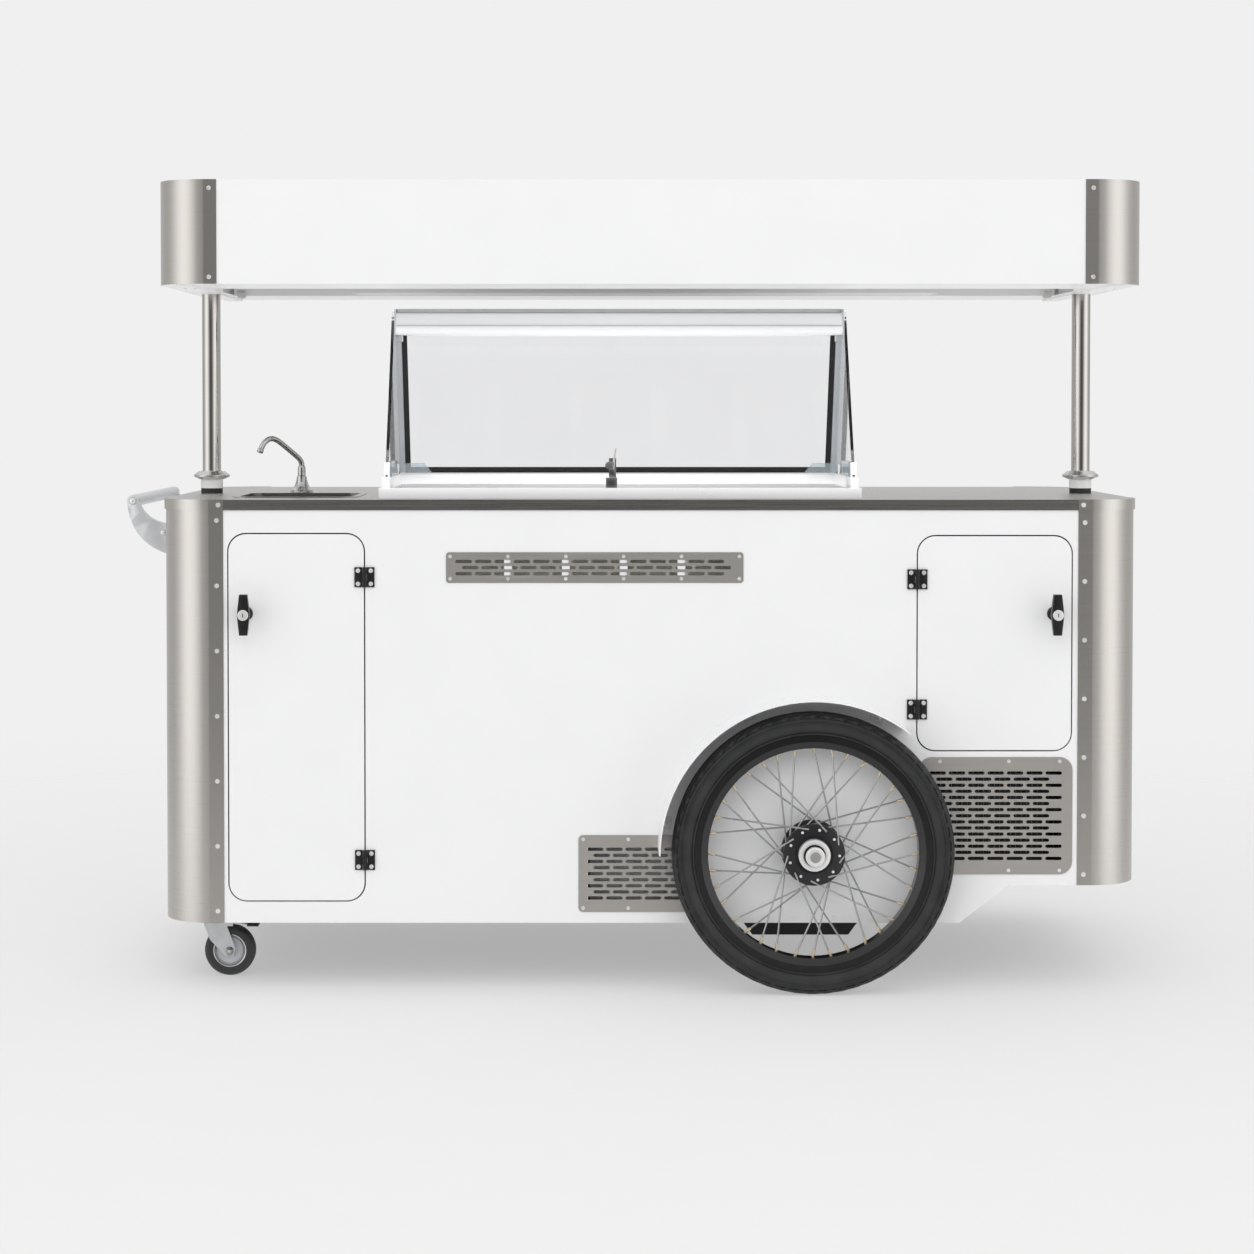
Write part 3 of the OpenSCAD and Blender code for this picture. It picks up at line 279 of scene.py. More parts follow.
# How much the noise is squeezed along X, Y and Z for a brushed grain: least along the grain
UPRIGHT = (1500, 1500, 7)
AROUND = (5, 5, 2600)
ALONG_X = (6, 1600, 1600)
M = {
    "white_panel": material("white_panel", (0.87, 0.87, 0.875), 0.32, mottle=0.008, grain_rough=0.06,
                            bump=0.03, coat=0.15),
    "white_paint": material("white_paint", (0.86, 0.86, 0.865), 0.38, mottle=0.01, bump=0.05, bump_scale=900),
    "white_plastic": material("white_plastic", (0.88, 0.88, 0.885), 0.3, mottle=0.01, bump=0.02),
    "white_nylon": material("white_nylon", (0.86, 0.86, 0.85), 0.45, mottle=0.02, bump=0.05),
    "column_steel": material("column_steel", (0.57, 0.545, 0.515), 0.3, 1, 0.03, grain=AROUND,
                             grain_rough=0.06, bump=0.012),
    "worktop_steel": material("worktop_steel", (0.38, 0.365, 0.345), 0.28, 1, 0.05, grain=ALONG_X,
                              grain_rough=0.1, bump=0.015),
    "liner_steel": material("liner_steel", (0.78, 0.78, 0.775), 0.34, 0.8, 0.03, grain=ALONG_X, bump=0.02),
    "grille_steel": material("grille_steel", (0.54, 0.515, 0.485), 0.42, 0.95, 0.04, grain=ALONG_X,
                             grain_rough=0.12, bump=0.02),
    "pole_steel": material("pole_steel", (0.56, 0.535, 0.51), 0.14, 1, 0.03, mottle_scale=14, grain_rough=0.05),
    "bright_steel": material("bright_steel", (0.86, 0.855, 0.84), 0.42, 0.7, 0.03, grain_rough=0.2, bump=0.05),
    # steel for the fender liner, darkened as painted shade under the fender
    "steel_with_painted_shade": material("steel_with_painted_shade", (0.33, 0.33, 0.335), 0.5, 0.3, 0.06, bump=0.05),
    "dark_steel": material("dark_steel", (0.2, 0.2, 0.19), 0.4, 0.8, 0.1, bump=0.08),
    "coil": material("coil", (0.3, 0.3, 0.3), 0.35, 0.9, 0.08, bump=0.05),
    "pan_steel": material("pan_steel", (0.66, 0.66, 0.65), 0.25, 1, 0.03, grain=ALONG_X, bump=0.02),
    "screw_steel": material("screw_steel", (0.86, 0.855, 0.845), 0.4, 0.6, 0.03, grain_rough=0.2, bump=0.05),
    "chrome": material("chrome", (0.5, 0.495, 0.49), 0.1, 1, 0.02, grain_rough=0.05, bump=0.01),
    "frame_steel": material("frame_steel", (0.5, 0.5, 0.5), 0.4, 1, 0.05, bump=0.03),
    "zinc": material("zinc", (0.72, 0.73, 0.74), 0.38, 0.7, 0.05, mottle_scale=60, bump=0.05),
    "black_paint": material("black_paint", (0.018, 0.018, 0.018), 0.35, mottle=0.1, bump=0.06),
    "black_plastic": material("black_plastic", (0.01, 0.01, 0.0105), 0.34, mottle=0.1, bump=0.1,
                              bump_scale=1500, specular=0.35),
    "black_rubber": material("black_rubber", (0.02, 0.02, 0.021), 0.6, mottle=0.15, bump=0.15),
    "tyre": material("tyre", (0.024, 0.024, 0.025), 0.55, mottle=0.3, mottle_scale=25, bump=0.25,
                     bump_scale=700, specular=0.35),
    "black_rim": material("black_rim", (0.008, 0.008, 0.0085), 0.2, mottle=0.1, bump=0.02, coat=0.1,
                          specular=0.4),
    "hub_black": material("hub_black", (0.01, 0.01, 0.011), 0.28, mottle=0.1, bump=0.08, specular=0.4),
    "spoke_steel": material("spoke_steel", (0.44, 0.44, 0.44), 0.3, 0.9, 0.05, bump=0.02),
    "brass": material("brass", (0.62, 0.53, 0.38), 0.35, 0.8, 0.08, bump=0.03),
    "handle_paint": material("handle_paint", (0.62, 0.635, 0.65), 0.35, 0.25, 0.02, bump=0.04, coat=0.2),
    "grey_profile": material("grey_profile", (0.6, 0.63, 0.67), 0.35, 0.3, 0.03, grain=UPRIGHT, bump=0.02),
    "header_grey": material("header_grey", (0.9, 0.905, 0.915), 0.3, 0.0, 0.01, grain=ALONG_X, bump=0.02),
    "glass": material("glass", (0.915, 0.917, 0.928), 0.015, mottle=0.01, grain_rough=0.01, bump=0.0,
                      transmission=1.0, ior=1.27),
    "clear_plastic": material("clear_plastic", (0.75, 0.82, 0.86), 0.08, mottle=0.01, grain_rough=0.02,
                              bump=0.0, transmission=0.75, ior=1.4),
    "foam": material("foam", (0.8, 0.78, 0.7), 0.8, mottle=0.05, bump=0.3),
    "machine": material("machine", (0.06, 0.06, 0.065), 0.45, 0.4, 0.1, bump=0.08),
    "box_grey": material("box_grey", (0.5, 0.5, 0.5), 0.5, mottle=0.03, bump=0.06),
    "tank": material("tank", (0.7, 0.74, 0.77), 0.4, mottle=0.03, bump=0.05),
    "caster_tread": material("caster_tread", (0.03, 0.03, 0.032), 0.5, mottle=0.15, bump=0.1),
    "caster_hub": material("caster_hub", (0.5, 0.51, 0.53), 0.4, mottle=0.05, bump=0.06),
    # dark grey for the painted shadow lines on the header
    "painted_shadow_grey": material("painted_shadow_grey", (0.3, 0.31, 0.33), 0.4, 0.4, 0.03, bump=0.02),
    "lamp": material("lamp", (0.9, 0.9, 0.88), 0.4, mottle=0.01, bump=0.02),
}

SLOT_MATERIAL = {
    "black_steel": "black_paint", "brushed_steel": "column_steel", "axle_steel": "frame_steel",
    "clear_glass": "glass", "header_profile": "header_grey", "black_zinc": "black_plastic",
    "zinc_steel": "zinc", "machine_grey": "machine", "machine_white": "box_grey", "tank_plastic": "tank",
    "canopy_paint": "white_paint", "tyre_rubber": "tyre", "hub_steel": "spoke_steel",
    "caster_rubber": "caster_tread",
}
NODE_MATERIAL = {"well_liner": "liner_steel"}
for row in frame["record"]["subparts"]:
    obj = nodes[row["node"]]
    key = row["material_slot"]
    made = M[NODE_MATERIAL.get(row["node"], SLOT_MATERIAL.get(key, key))]
    for s in obj.material_slots:
        s.material = made
    if not obj.material_slots:
        obj.data.materials.append(made)
    obj.data.polygons.foreach_set("use_smooth", [True] * len(obj.data.polygons))
    obj.data.set_sharp_from_angle(angle=math.radians(30))


# ---- places ----

origin_x = mid("worktop").x
FACE_Y = -398.5        # front face of the door panels, in mm
LEAF_FACE_Y = -401.5   # front face of the hinge leaves, in mm


def at(x, y, z):
    """A point given in millimetres from the middle of the body and the floor."""
    return Vector((origin_x + x * MM, y * MM, z * MM))


def cap_screw(bm, x, y, z, r=4.4, h=2.6, out=-1, steps=20):
    """A socket cap screw on a face that looks along Y (out is -1 for the front)."""
    profile = [(r, -0.4), (r, h * 0.55), (r * 0.82, h), (r * 0.48, h), (r * 0.45, h * 0.45), (0, h * 0.4)]
    add_lathe(bm, in_mm(profile), at(x, y, z), (0, out, 0), steps)


def soften(node, width, segments=2, angle=35):
    """Small round edges on a CAD node, for its highlights."""
    obj = nodes[node]
    weld = obj.modifiers.new("weld", "WELD")
    weld.merge_threshold = 1e-6
    bevelled(obj, width * MM, segments, angle)


# ---- wheels ----

def tyre(side, node, body):
    """Pneumatic tyre: bead, ribbed smooth wall, shoulder slots and grooved crown."""
    half = [(219.4, 17.6), (222, 18.8), (225, 19.2), (227.0, 18.8), (227.8, 22.4), (230.6, 23.0), (231.8, 20.8),
            (235, 23.6), (239, 26.0), (243, 27.8), (247, 29.0), (249.8, 29.0), (250.6, 30.9), (252.4, 30.9),
            (253.2, 29.0), (256, 28.8), (258.3, 28.6), (259.0, 26.2), (260.8, 26.0), (261.4, 28.0), (263.6, 26.6),
            (265.6, 24.2), (267.2, 21.2), (268.2, 18.2), (266.0, 17.2), (266.0, 15.6), (268.7, 14.6), (269.4, 10.2),
            (269.6, 7.2), (267.2, 6.6), (267.2, 5.0), (269.8, 4.4), (270.0, 0.0)]
    shoulder = range(19, 24)
    full = half + [(r, -y) for r, y in reversed(half[:-1])]
    count = len(full)
    steps = 360
    centre = mid(node)
    bm = bmesh.new()
    rings = []
    for i in range(steps):
        a = 2 * math.pi * i / steps
        ring = []
        for k, (r, y) in enumerate(full):
            m = min(k, count - 1 - k)
            if m in shoulder and (i + (m - 19)) % 6 in (0, 1):
                r, y = r - 2.6, y * 0.95
            ring.append(bm.verts.new(centre + Vector((r * math.cos(a), y, r * math.sin(a))) * MM))
        rings.append(ring)
    for i in range(steps):
        one, two = rings[i], rings[(i + 1) % steps]
        for k in range(count):
            bm.faces.new([one[k], one[(k + 1) % count], two[(k + 1) % count], two[k]])
    obj = piece(side + "_tyre_detailed", bm, M["tyre"], body, angle=32)
    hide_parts(node)


def wheel(side, sign):
    """Black hub, silver cap, laced spokes and brass nipples. sign is -1 for the near wheel, 1 for the far."""
    body = side + "_wheel"
    centre = mid(side + "_rim")
    axis = (0, sign, 0)
    tyre(side, side + "_tyre", body)

    bm = bmesh.new()
    hub = [(10.1, -44), (21, -44), (22, -43), (22, -31), (57, -30), (59, -28.8), (59, -25.2), (57, -24),
           (34, -22), (27, -15), (27, 15), (34, 22), (57, 24), (59, 25.2), (59, 28.8), (57, 30), (40, 30.4),
           (38, 31.4), (35, 31.4), (34, 30), (31.2, 30), (31.2, 28), (10.1, 28)]
    add_lathe(bm, in_mm(hub), centre, axis, 72, closed=True)
    hub_obj = piece(side + "_hub_shell", bm, M["hub_black"], body)

    bm = bmesh.new()
    cap = [(30.6, 29), (30.6, 38.5), (29.6, 40.6), (27.4, 41.4), (22, 41.4), (20.6, 40.4), (20, 38), (20, 31)]
    add_lathe(bm, in_mm(cap), centre, axis, 64, closed=True)
    cap_obj = piece(side + "_hub_cap", bm, M["bright_steel"], body)

    spokes = 36
    circle = 50      # radius of the spoke holes in the hub's flanges
    inner_r = 203    # radius where the spokes end, inside the rim
    lean = 58        # degrees that a spoke's hole is turned from its nipple
    proud_skin, inner_skin = 30.6, 23.4      # outside and inside of a flange, for the spokes
    proud_head, inner_head = 30.0, 23.6      # and for their heads
    bm, brass, heads = bmesh.new(), bmesh.new(), bmesh.new()
    for i in range(spokes):
        face = 1 if i % 2 == 0 else -1
        outside = (i // 2) % 2 == 0
        cross = 1 if outside else -1
        a = 2 * math.pi * i / spokes
        b = a - math.radians(lean * cross)

        def local(r, turn, out):
            return centre + Vector((r * math.cos(turn), sign * out, r * math.sin(turn))) * MM
        skin = proud_skin if outside else inner_skin
        start = local(circle, b, skin * face)
        end = local(inner_r, a, 5 * face)
        add_tube(bm, [start, end], 1.75 * MM, 10)
        along = (end - start).normalized()
        add_tube(brass, [end - along * 15 * MM, end - along * 13 * MM, end - along * 0.5 * MM],
                 lambda t: (1.8 if t < 0.1 else 3.0) * MM, 10)
        head = inner_head if outside else proud_head
        knob = [(2.9, -0.4), (2.9, 0.8), (2.2, 1.9), (1.0, 2.4), (0, 2.5)]
        points = -sign * face if outside else sign * face
        add_lathe(heads, in_mm(knob), local(circle - 2, b, head * face), (0, points, 0), 14)
    spoke_obj = piece(side + "_spokes", bm, M["spoke_steel"], body)
    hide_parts(side + "_hub")
    for name, mesh, mat in (("_nipples", brass, "brass"), ("_spoke_heads", heads, "bright_steel")):
        piece(side + name, mesh, M[mat], body)

    bm = bmesh.new()
    outer_face = abs((lo if sign < 0 else hi)("axle").y) * 1000
    nut = [(18.2, -5), (18.2, 4), (16.6, 5.4), (12.5, 5.8), (11.4, 5.0), (0, 5.0)]
    spot = Vector((centre.x, sign * (outer_face - 6.2) * MM, centre.z))
    add_lathe(bm, in_mm(nut), spot, axis, 40)
    piece(side + "_axle_cap", bm, M["bright_steel"], "root")


wheel("near", -1)
wheel("far", 1)


# ---- casters ----

def caster(side, sign):
    """Moulded wheel: round black tread, grey hub disc with a bright ring, and the axle bolt's heads."""
    node = side + "_caster_wheel"
    centre = mid(node)
    half = (hi(node).y - lo(node).y) / 2 * 1000
    body = side + "_caster_roll"
    bm = bmesh.new()
    tread = [(31.6, -11), (32.6, -13.8), (35, -half), (43, -half), (46.4, -13.4), (49, -10.4), (50, -6), (50, 6),
             (49, 10.4), (46.4, 13.4), (43, half), (35, half), (32.6, 13.8), (31.6, 11)]
    add_lathe(bm, in_mm(tread), centre, (0, sign, 0), 72, closed=True)
    obj = piece(side + "_caster_tread", bm, M["caster_tread"], body)
    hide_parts(node)
    bm = bmesh.new()
    disc = [(5.1, -14.6), (13, -14.6), (14.5, -10), (26, -9), (27, -6), (29, -6), (31.7, -11.5), (31.7, 11.5),
            (29, 6), (27, 6), (26, 9), (14.5, 10), (13, 14.6), (5.1, 14.6)]
    add_lathe(bm, in_mm(disc), centre, (0, sign, 0), 64, closed=True)
    piece(side + "_caster_hub", bm, M["caster_hub"], body)
    bm = bmesh.new()
    for face in (-1, 1):
        ring = [(29.4, 10.0), (30.4, 13.6), (32.4, 14.4), (33.0, 13.0), (31.0, 9.2)]
        add_lathe(bm, in_mm(ring), centre, (0, sign * face, 0), 64, closed=True)
    piece(side + "_caster_ring", bm, M["chrome"], body)
    bm = bmesh.new()
    fork_half = (hi(side + "_fork").y - lo(side + "_fork").y) / 2 * 1000
    for face in (-1, 1):
        head = [(8.6, -3.2), (8.6, -1.2), (7.6, 0), (6.4, 0.2), (5.6, 1.6), (3.2, 1.9), (2.9, 0.6), (0, 0.5)]
        add_lathe(bm, in_mm(head), centre + Vector((0, sign * face * (fork_half - 1) * MM, 0)),
                  (0, sign * face, 0), 32)
    piece(side + "_caster_bolt", bm, M["chrome"], side + "_caster_swivel")
    bm = bmesh.new()
    a, b = lo(side + "_brake_pedal"), hi(side + "_brake_pedal")
    add_box(bm, (b.x - 0.022, a.y - 0.001, a.z + 0.0012), (b.x + 0.001, b.y + 0.001, a.z + 0.0068))
    pad = bevelled(piece(side + "_pedal_pad", bm, M["black_rubber"], side + "_pedal"), 0.002, 3)


caster("near", -1)
caster("far", 1)


# ---- doors: hinge screws, door locks ----

HINGE_SCREW_X, HINGE_SCREW_Z = 12.2, 12.6


def hinge_screws(name, axis_x, heights, body):
    """Two screws at each height, at axis_x."""
    bm = bmesh.new()
    for z in heights:
        for dz in (-HINGE_SCREW_Z, HINGE_SCREW_Z):
            cap_screw(bm, axis_x, LEAF_FACE_Y, z + dz, r=4.3, h=2.4)
    piece(name, bm, M["bright_steel"], body)


def leaf_heights(node):
    return sorted({round((a.z + b.z) / 2 * 1000, 1) for a, b in islands(node)})


PIN_IN = 4       # from a leaf's edge to the hinge pin's axis
left_pin = (hi("door_left_leaves").x - origin_x) * 1000 - PIN_IN
right_pin = (lo("door_right_leaves").x - origin_x) * 1000 + PIN_IN
left_z = leaf_heights("door_left_leaves")
right_z = leaf_heights("door_right_leaves")
hinge_screws("left_leaf_screws", left_pin - HINGE_SCREW_X, left_z, "left_door")
hinge_screws("left_frame_screws", left_pin + HINGE_SCREW_X, left_z, "root")
hinge_screws("right_leaf_screws", right_pin + HINGE_SCREW_X, right_z, "right_door")
hinge_screws("right_frame_screws", right_pin - HINGE_SCREW_X, right_z, "root")


def door_lock(side):
    """Escutcheon on the door, and the chrome lock with a key slot in the T-handle's grip."""
    node = "t_handle_" + side
    x = (mid(node).x - origin_x) * 1000
    front = lo(node).y * 1000
    z = hi("t_handle_left").z * 1000 - GRIP_HALF
    bm = bmesh.new()
    plate = [(10.3, 0.2), (13.6, 0.2), (13.8, 1.4), (12.6, 3.4), (11.2, 4.4), (10.3, 4.4)]
    add_lathe(bm, in_mm(plate), at(x, FACE_Y, z), (0, -1, 0), 40, closed=True)
    piece(side + "_lock_escutcheon", bm, M["black_plastic"], side + "_door")
    bm = bmesh.new()
    barrel = [(10.2, -2), (10.2, 1.4), (9.4, 2.4), (7.4, 2.7), (7.0, 2.0), (5.6, 2.0), (5.4, 2.5), (0, 2.6)]
    add_lathe(bm, in_mm(barrel), at(x, front - 0.2, z), (0, -1, 0), 40)
    piece(side + "_lock_barrel", bm, M["bright_steel"], side + "_latch")
    bm = bmesh.new()
    add_box(bm, at(x - 0.8, front - 2.95, z - 3.6), at(x + 0.8, front - 1.6, z + 3.6))
    slot = piece(side + "_key_slot", bm, M["black_plastic"], side + "_latch")
    bevelled(slot, 0.0003)


GRIP_HALF = 39   # from the grip's end to the lock's axis
door_lock("left")
door_lock("right")


# ---- fenders: steel liner darkened as painted shade, and bolts ----

WHEEL_X = (mid("near_rim").x - origin_x) * 1000
WHEEL_Z = mid("near_rim").z * 1000
FENDER_R = hi("fenders").z * 1000 - WHEEL_Z


def fender_details(side, sign):
    """Steel liner under the fender, made dark as painted shade, and the three tabs with bolts that hold it."""
    edge = abs((lo if sign < 0 else hi)("fenders").y) * 1000
    start, end = 53, 177                                 # degrees round the wheel
    outer_r, inner_r = FENDER_R - 2.6, FENDER_R - 3.4    # faces of the liner darkened as painted shade
    root_y = 402
    bm = bmesh.new()
    steps = 60
    rows = []
    for i in range(steps + 1):
        a = math.radians(start + (end - start) * i / steps)
        row = []
        for r, y in ((outer_r, root_y), (outer_r, edge - 1.5), (inner_r, edge - 1.5), (inner_r, root_y)):
            row.append(bm.verts.new(at(WHEEL_X + r * math.cos(a), sign * y, WHEEL_Z + r * math.sin(a))))
        rows.append(row)
    for one, two in zip(rows, rows[1:]):
        for k in range(4):
            bm.faces.new([one[k], one[(k + 1) % 4], two[(k + 1) % 4], two[k]])
    bm.faces.new(rows[0])
    bm.faces.new(list(reversed(rows[-1])))
    piece(side + "_fender_liner_painted_shade", bm, M["steel_with_painted_shade"], "root")
    bm, tabs = bmesh.new(), bmesh.new()
    for degrees in (63, 115, 170):
        a = math.radians(degrees)
        r = FENDER_R - 10.5
        x, z = WHEEL_X + r * math.cos(a), WHEEL_Z + r * math.sin(a)
        bolt = ((8.4, 0), (8.4, 1.2), (6.0, 1.4), (5.6, 4.6), (4.4, 5.4), (0, 5.6))
        add_lathe(bm, in_mm(bolt), at(x, sign * 400.6, z), (0, sign, 0), 6)
        turned = [(r - 12, -13), (r + 9, -13), (r + 9, 13), (r - 12, 13)]
        base = []
        for q, w in turned:
            base.append((q * math.cos(a) - w * math.sin(a), q * math.sin(a) + w * math.cos(a)))
        outline = [((origin_x + (WHEEL_X + u) * MM), (WHEEL_Z + v) * MM) for u, v in base]
        add_prism(tabs, outline, "y", sign * 0.4004, sign * 0.4018)
    piece(side + "_fender_bolts", bm, M["screw_steel"], "root")
    bevelled(piece(side + "_fender_tabs", tabs, M["zinc"], "root"), 0.0004)


fender_details("near", -1)
fender_details("far", 1)


# ---- tap ----

def tap():
    """Swivel spout as one smooth drawn tube with its outlet ring."""
    x, y = -714, 17
    z0 = hi("tap_base").z * 1000
    turn = math.radians(218)
    flat = [(0, 2), (0, 24), (4, 34), (14, 43), (33, 57), (52, 70.5), (62, 76), (72, 78.5), (82, 76), (91, 69),
            (97, 59), (101, 50)]
    path = curve_through([at(x + u * math.cos(turn), y + u * math.sin(turn), z0 + v) for u, v in flat], 8)
    bm = bmesh.new()
    add_tube(bm, path, 5.7 * MM, 28)
    collar = ((5.2, 0.3), (8.2, 0.3), (8.4, 3), (8.0, 17), (7.2, 21), (5.9, 22.6), (5.2, 22.6))
    add_lathe(bm, in_mm(collar), at(x, y, z0), (0, 0, 1), 40, closed=True)
    tip = path[-1]
    ahead = (path[-1] - path[-3]).normalized()
    outlet = ((5.4, -8), (6.5, -7), (6.7, -1), (6.0, 0), (4.4, 0), (4.4, -3), (0, -3))
    add_lathe(bm, in_mm(outlet), tip, ahead, 32)
    obj = piece("tap_spout_tube", bm, M["chrome"], "tap", angle=50)
    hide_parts("tap_spout")
    bm = bmesh.new()
    rings = ((23.6, 0.2), (24.4, 1.4), (23.6, 3.0), (21.6, 3.4), (21.6, 0.2))
    add_lathe(bm, in_mm(rings), at(x, y, 942), (0, 0, 1), 48, closed=True)
    piece("tap_foot_ring", bm, M["chrome"], "root")


tap()


# ---- sink: strainer ----

def sink():
    x, y = -697, -165
    z = lo("sink_bowl").z * 1000
    bm = bmesh.new()
    ring = [(19.6, 2), (27, 2), (27.6, 2.8), (26, 3.8), (21, 3.4), (19.6, 2.8)]
    add_lathe(bm, in_mm(ring), at(x, y, z), (0, 0, 1), 48, closed=True)
    for i in range(4):
        a = math.pi * i / 4
        d = Vector((math.cos(a), math.sin(a), 0)) * 20 * MM
        add_tube(bm, [at(x, y, z + 1.6) - d, at(x, y, z + 1.6) + d], 1.1 * MM, 8)
    piece("sink_strainer", bm, M["chrome"], "root")


sink()


# ---- display: clamps, corner plates, brackets, latch lever ----

def display():
    """Small parts of the glass display: clamps with screws, plates, header brackets, lamp and latch lever."""
    left = lo("side_glasses").x
    right = hi("side_glasses").x
    front = lo("side_glasses").y
    foot = lo("side_glasses").z
    clamps, screws, plates, corners = bmesh.new(), bmesh.new(), bmesh.new(), bmesh.new()
    for x0, s in ((left, 1), (right, -1)):
        inner = x0 + s * 0.006
        a = min(x0 - s * 0.0022, inner + s * 0.0022)
        b = max(x0 - s * 0.0022, inner + s * 0.0022)
        for y, h in ((front + 0.004, 0.029), (front + 0.150, 0.020), (front + 0.255, 0.020)):
            add_box(clamps, (a, y - 0.004, foot - 0.0006), (b, y + 0.020, foot + h))
            add_box(screws, ((a + b) / 2 - 0.0022, y - 0.0052, foot + 0.0018),
                    ((a + b) / 2 + 0.0022, y - 0.0036, foot + 0.0050))
        inside = x0 + s * 0.0075
        outline = [(front + 0.030, foot + 0.001), (front + 0.030, foot + 0.030), (front + 0.190, foot + 0.030),
                   (front + 0.215, foot + 0.001)]
        add_prism(plates, outline, "x", inside, inside + s * 0.003)
        rear = hi("rear_pane").y - 0.012
        wide = 0.066
        low = foot + 0.002
        tri = [(inside, low), (inside, low + 0.019), (inside + s * (wide - 0.016), low + 0.019),
               (inside + s * wide, low)]
        add_prism(corners, [(u, v) for u, v in tri], "y", rear - 0.052, rear - 0.049)
    bevelled(piece("glass_clamps", clamps, M["white_plastic"], "root"), 0.0014, 3)
    piece("clamp_screws", screws, M["black_plastic"], "root")
    bevelled(piece("glass_foot_plates", plates, M["clear_plastic"], "root"), 0.0004)
    bevelled(piece("glass_corner_plates", corners, M["clear_plastic"], "root"), 0.0004)

    h0, h1 = lo("header"), hi("header")
    bm = bmesh.new()
    for x0, s in ((h0.x, 1), (h1.x, -1)):
        a, b = sorted((x0 - s * 0.0005, x0 + s * 0.013))
        add_box(bm, (a, h0.y + 0.014, h0.z - 0.013), (b, h0.y + 0.036, h0.z - 0.0002))
    bevelled(piece("header_brackets", bm, M["zinc"], "root"), 0.0012)
    bm = bmesh.new()
    add_box(bm, (h0.x + 0.03, h0.y + 0.016, h0.z - 0.0016), (h1.x - 0.03, h0.y + 0.034, h0.z + 0.001))
    bevelled(piece("lamp_diffuser", bm, M["lamp"], "root"), 0.001, 3)
    bm = bmesh.new()
    # Thin dark strips along the header's top edge and near its lower edge: painted shadow lines.
    for y, z, h in ((0.0055, h1.z - 0.0008, 0.0007), (-0.0002, h0.z + 0.0185, 0.0005)):
        add_box(bm, (h0.x + 0.002, h0.y + y, z), (h1.x - 0.002, h0.y + 0.012, z + h))
    piece("header_shadow_lines", bm, M["painted_shadow_grey"], "root")

    post0, post1 = lo("latch_post"), hi("latch_post")
    x, y = (post0.x + post1.x) / 2, (post0.y + post1.y) / 2
    bm = bmesh.new()
    lever = curve_through([(x + 0.0035, y + 0.002, post1.z - 0.022), (x + 0.0045, y + 0.001, post1.z - 0.006),
                           (x + 0.0065, y - 0.0005, post1.z + 0.008), (x + 0.0085, y - 0.002, post1.z + 0.0195)], 6)
    add_tube(bm, lever, lambda t: (2.9 - 1.5 * t) * MM, 12)
    piece("latch_lever", bm, M["pan_steel"], "root")
    bm = bmesh.new()
    knob_z = post1.z - 0.014
    knob = [(0, -0.6), (6.6, -0.6), (7.4, 0), (7.4, 3), (6.2, 4.2), (0, 4.4)]
    add_lathe(bm, in_mm(knob), (x - 0.005, post0.y, knob_z), (0, -1, 0), 36)
    piece("latch_knob", bm, M["dark_steel"], "root")


display()


def pane_sleeve():
    """Grey cover on the bar that the pane turns on."""
    a, b = lo("pane_trim"), hi("pane_trim")
    bar_z = b.z - 0.006
    bar_y = PANE_AXIS_Y
    bm = bmesh.new()
    add_tube(bm, [(a.x + 0.007, bar_y, bar_z), (b.x - 0.007, bar_y, bar_z)], 6.5 * MM, 28)
    piece("pane_bar_cover", bm, M["header_grey"], "pane")


PANE_AXIS_Y = next(j for j in frame["joints"] if j["child"] == "pane")["pos_m"][1]
pane_sleeve()


# ---- canopy: bay lamps and brackets ----

def canopy():
    """Two lamps in the bay under the roof, brackets with screws, and the screws of the corner caps."""
    a, b = lo("canopy_frame"), hi("canopy_frame")
    bm, diffusers, brackets, screws = bmesh.new(), bmesh.new(), bmesh.new(), bmesh.new()
    plate = a.z + 0.004
    for y in (-0.172, 0.150):
        add_box(bm, (origin_x - 0.62, y, plate + 0.004), (origin_x + 0.62, y + 0.022, plate + 0.018))
        add_box(diffusers, (origin_x - 0.612, y + 0.003, plate + 0.0015),
                (origin_x + 0.612, y + 0.019, plate + 0.0055))
    for s in (-1, 1):
        for y0, t in ((-0.19, 1), (0.19, -1)):
            x0 = origin_x + s * 0.858
            near, away = sorted((y0, y0 + t * 0.016))
            add_box(brackets, (x0 - 0.009, near, a.z - 0.0015), (x0 + 0.009, away, a.z + 0.012))
            add_lathe(screws, in_mm(((4, -0.5), (4, 1.2), (3, 2.2), (0, 2.4))),
                      (x0, y0 + t * 0.008, a.z - 0.0015), (0, 0, -1), 16)
        for y in (-0.30, 0.30):
            for dx in (-0.010, 0.010):
                add_lathe(screws, in_mm(((3.4, -0.5), (3.4, 1.0), (2.4, 1.8), (0, 2.0))),
                          (origin_x + s * 0.898 + dx, y, a.z), (0, 0, -1), 16)
    face = abs(lo("canopy_caps").y) * 1000
    caps = bmesh.new()
    for s in (-1, 1):
        for z in (1369, 1539):
            for out in (-1, 1):
                cap_screw(caps, s * 846, out * face, z, r=4.2, h=2.2, out=out)
    piece("canopy_cap_screws", caps, M["screw_steel"], "canopy")
    bevelled(piece("bay_lamp_bodies", bm, M["white_paint"], "canopy"), 0.001)
    bevelled(piece("bay_lamp_diffusers", diffusers, M["lamp"], "canopy"), 0.001, 3)
    bevelled(piece("canopy_brackets", brackets, M["bright_steel"], "canopy"), 0.0008)
    piece("canopy_screws", screws, M["bright_steel"], "canopy")


canopy()


# ---- push handle: bolts through the arms ----

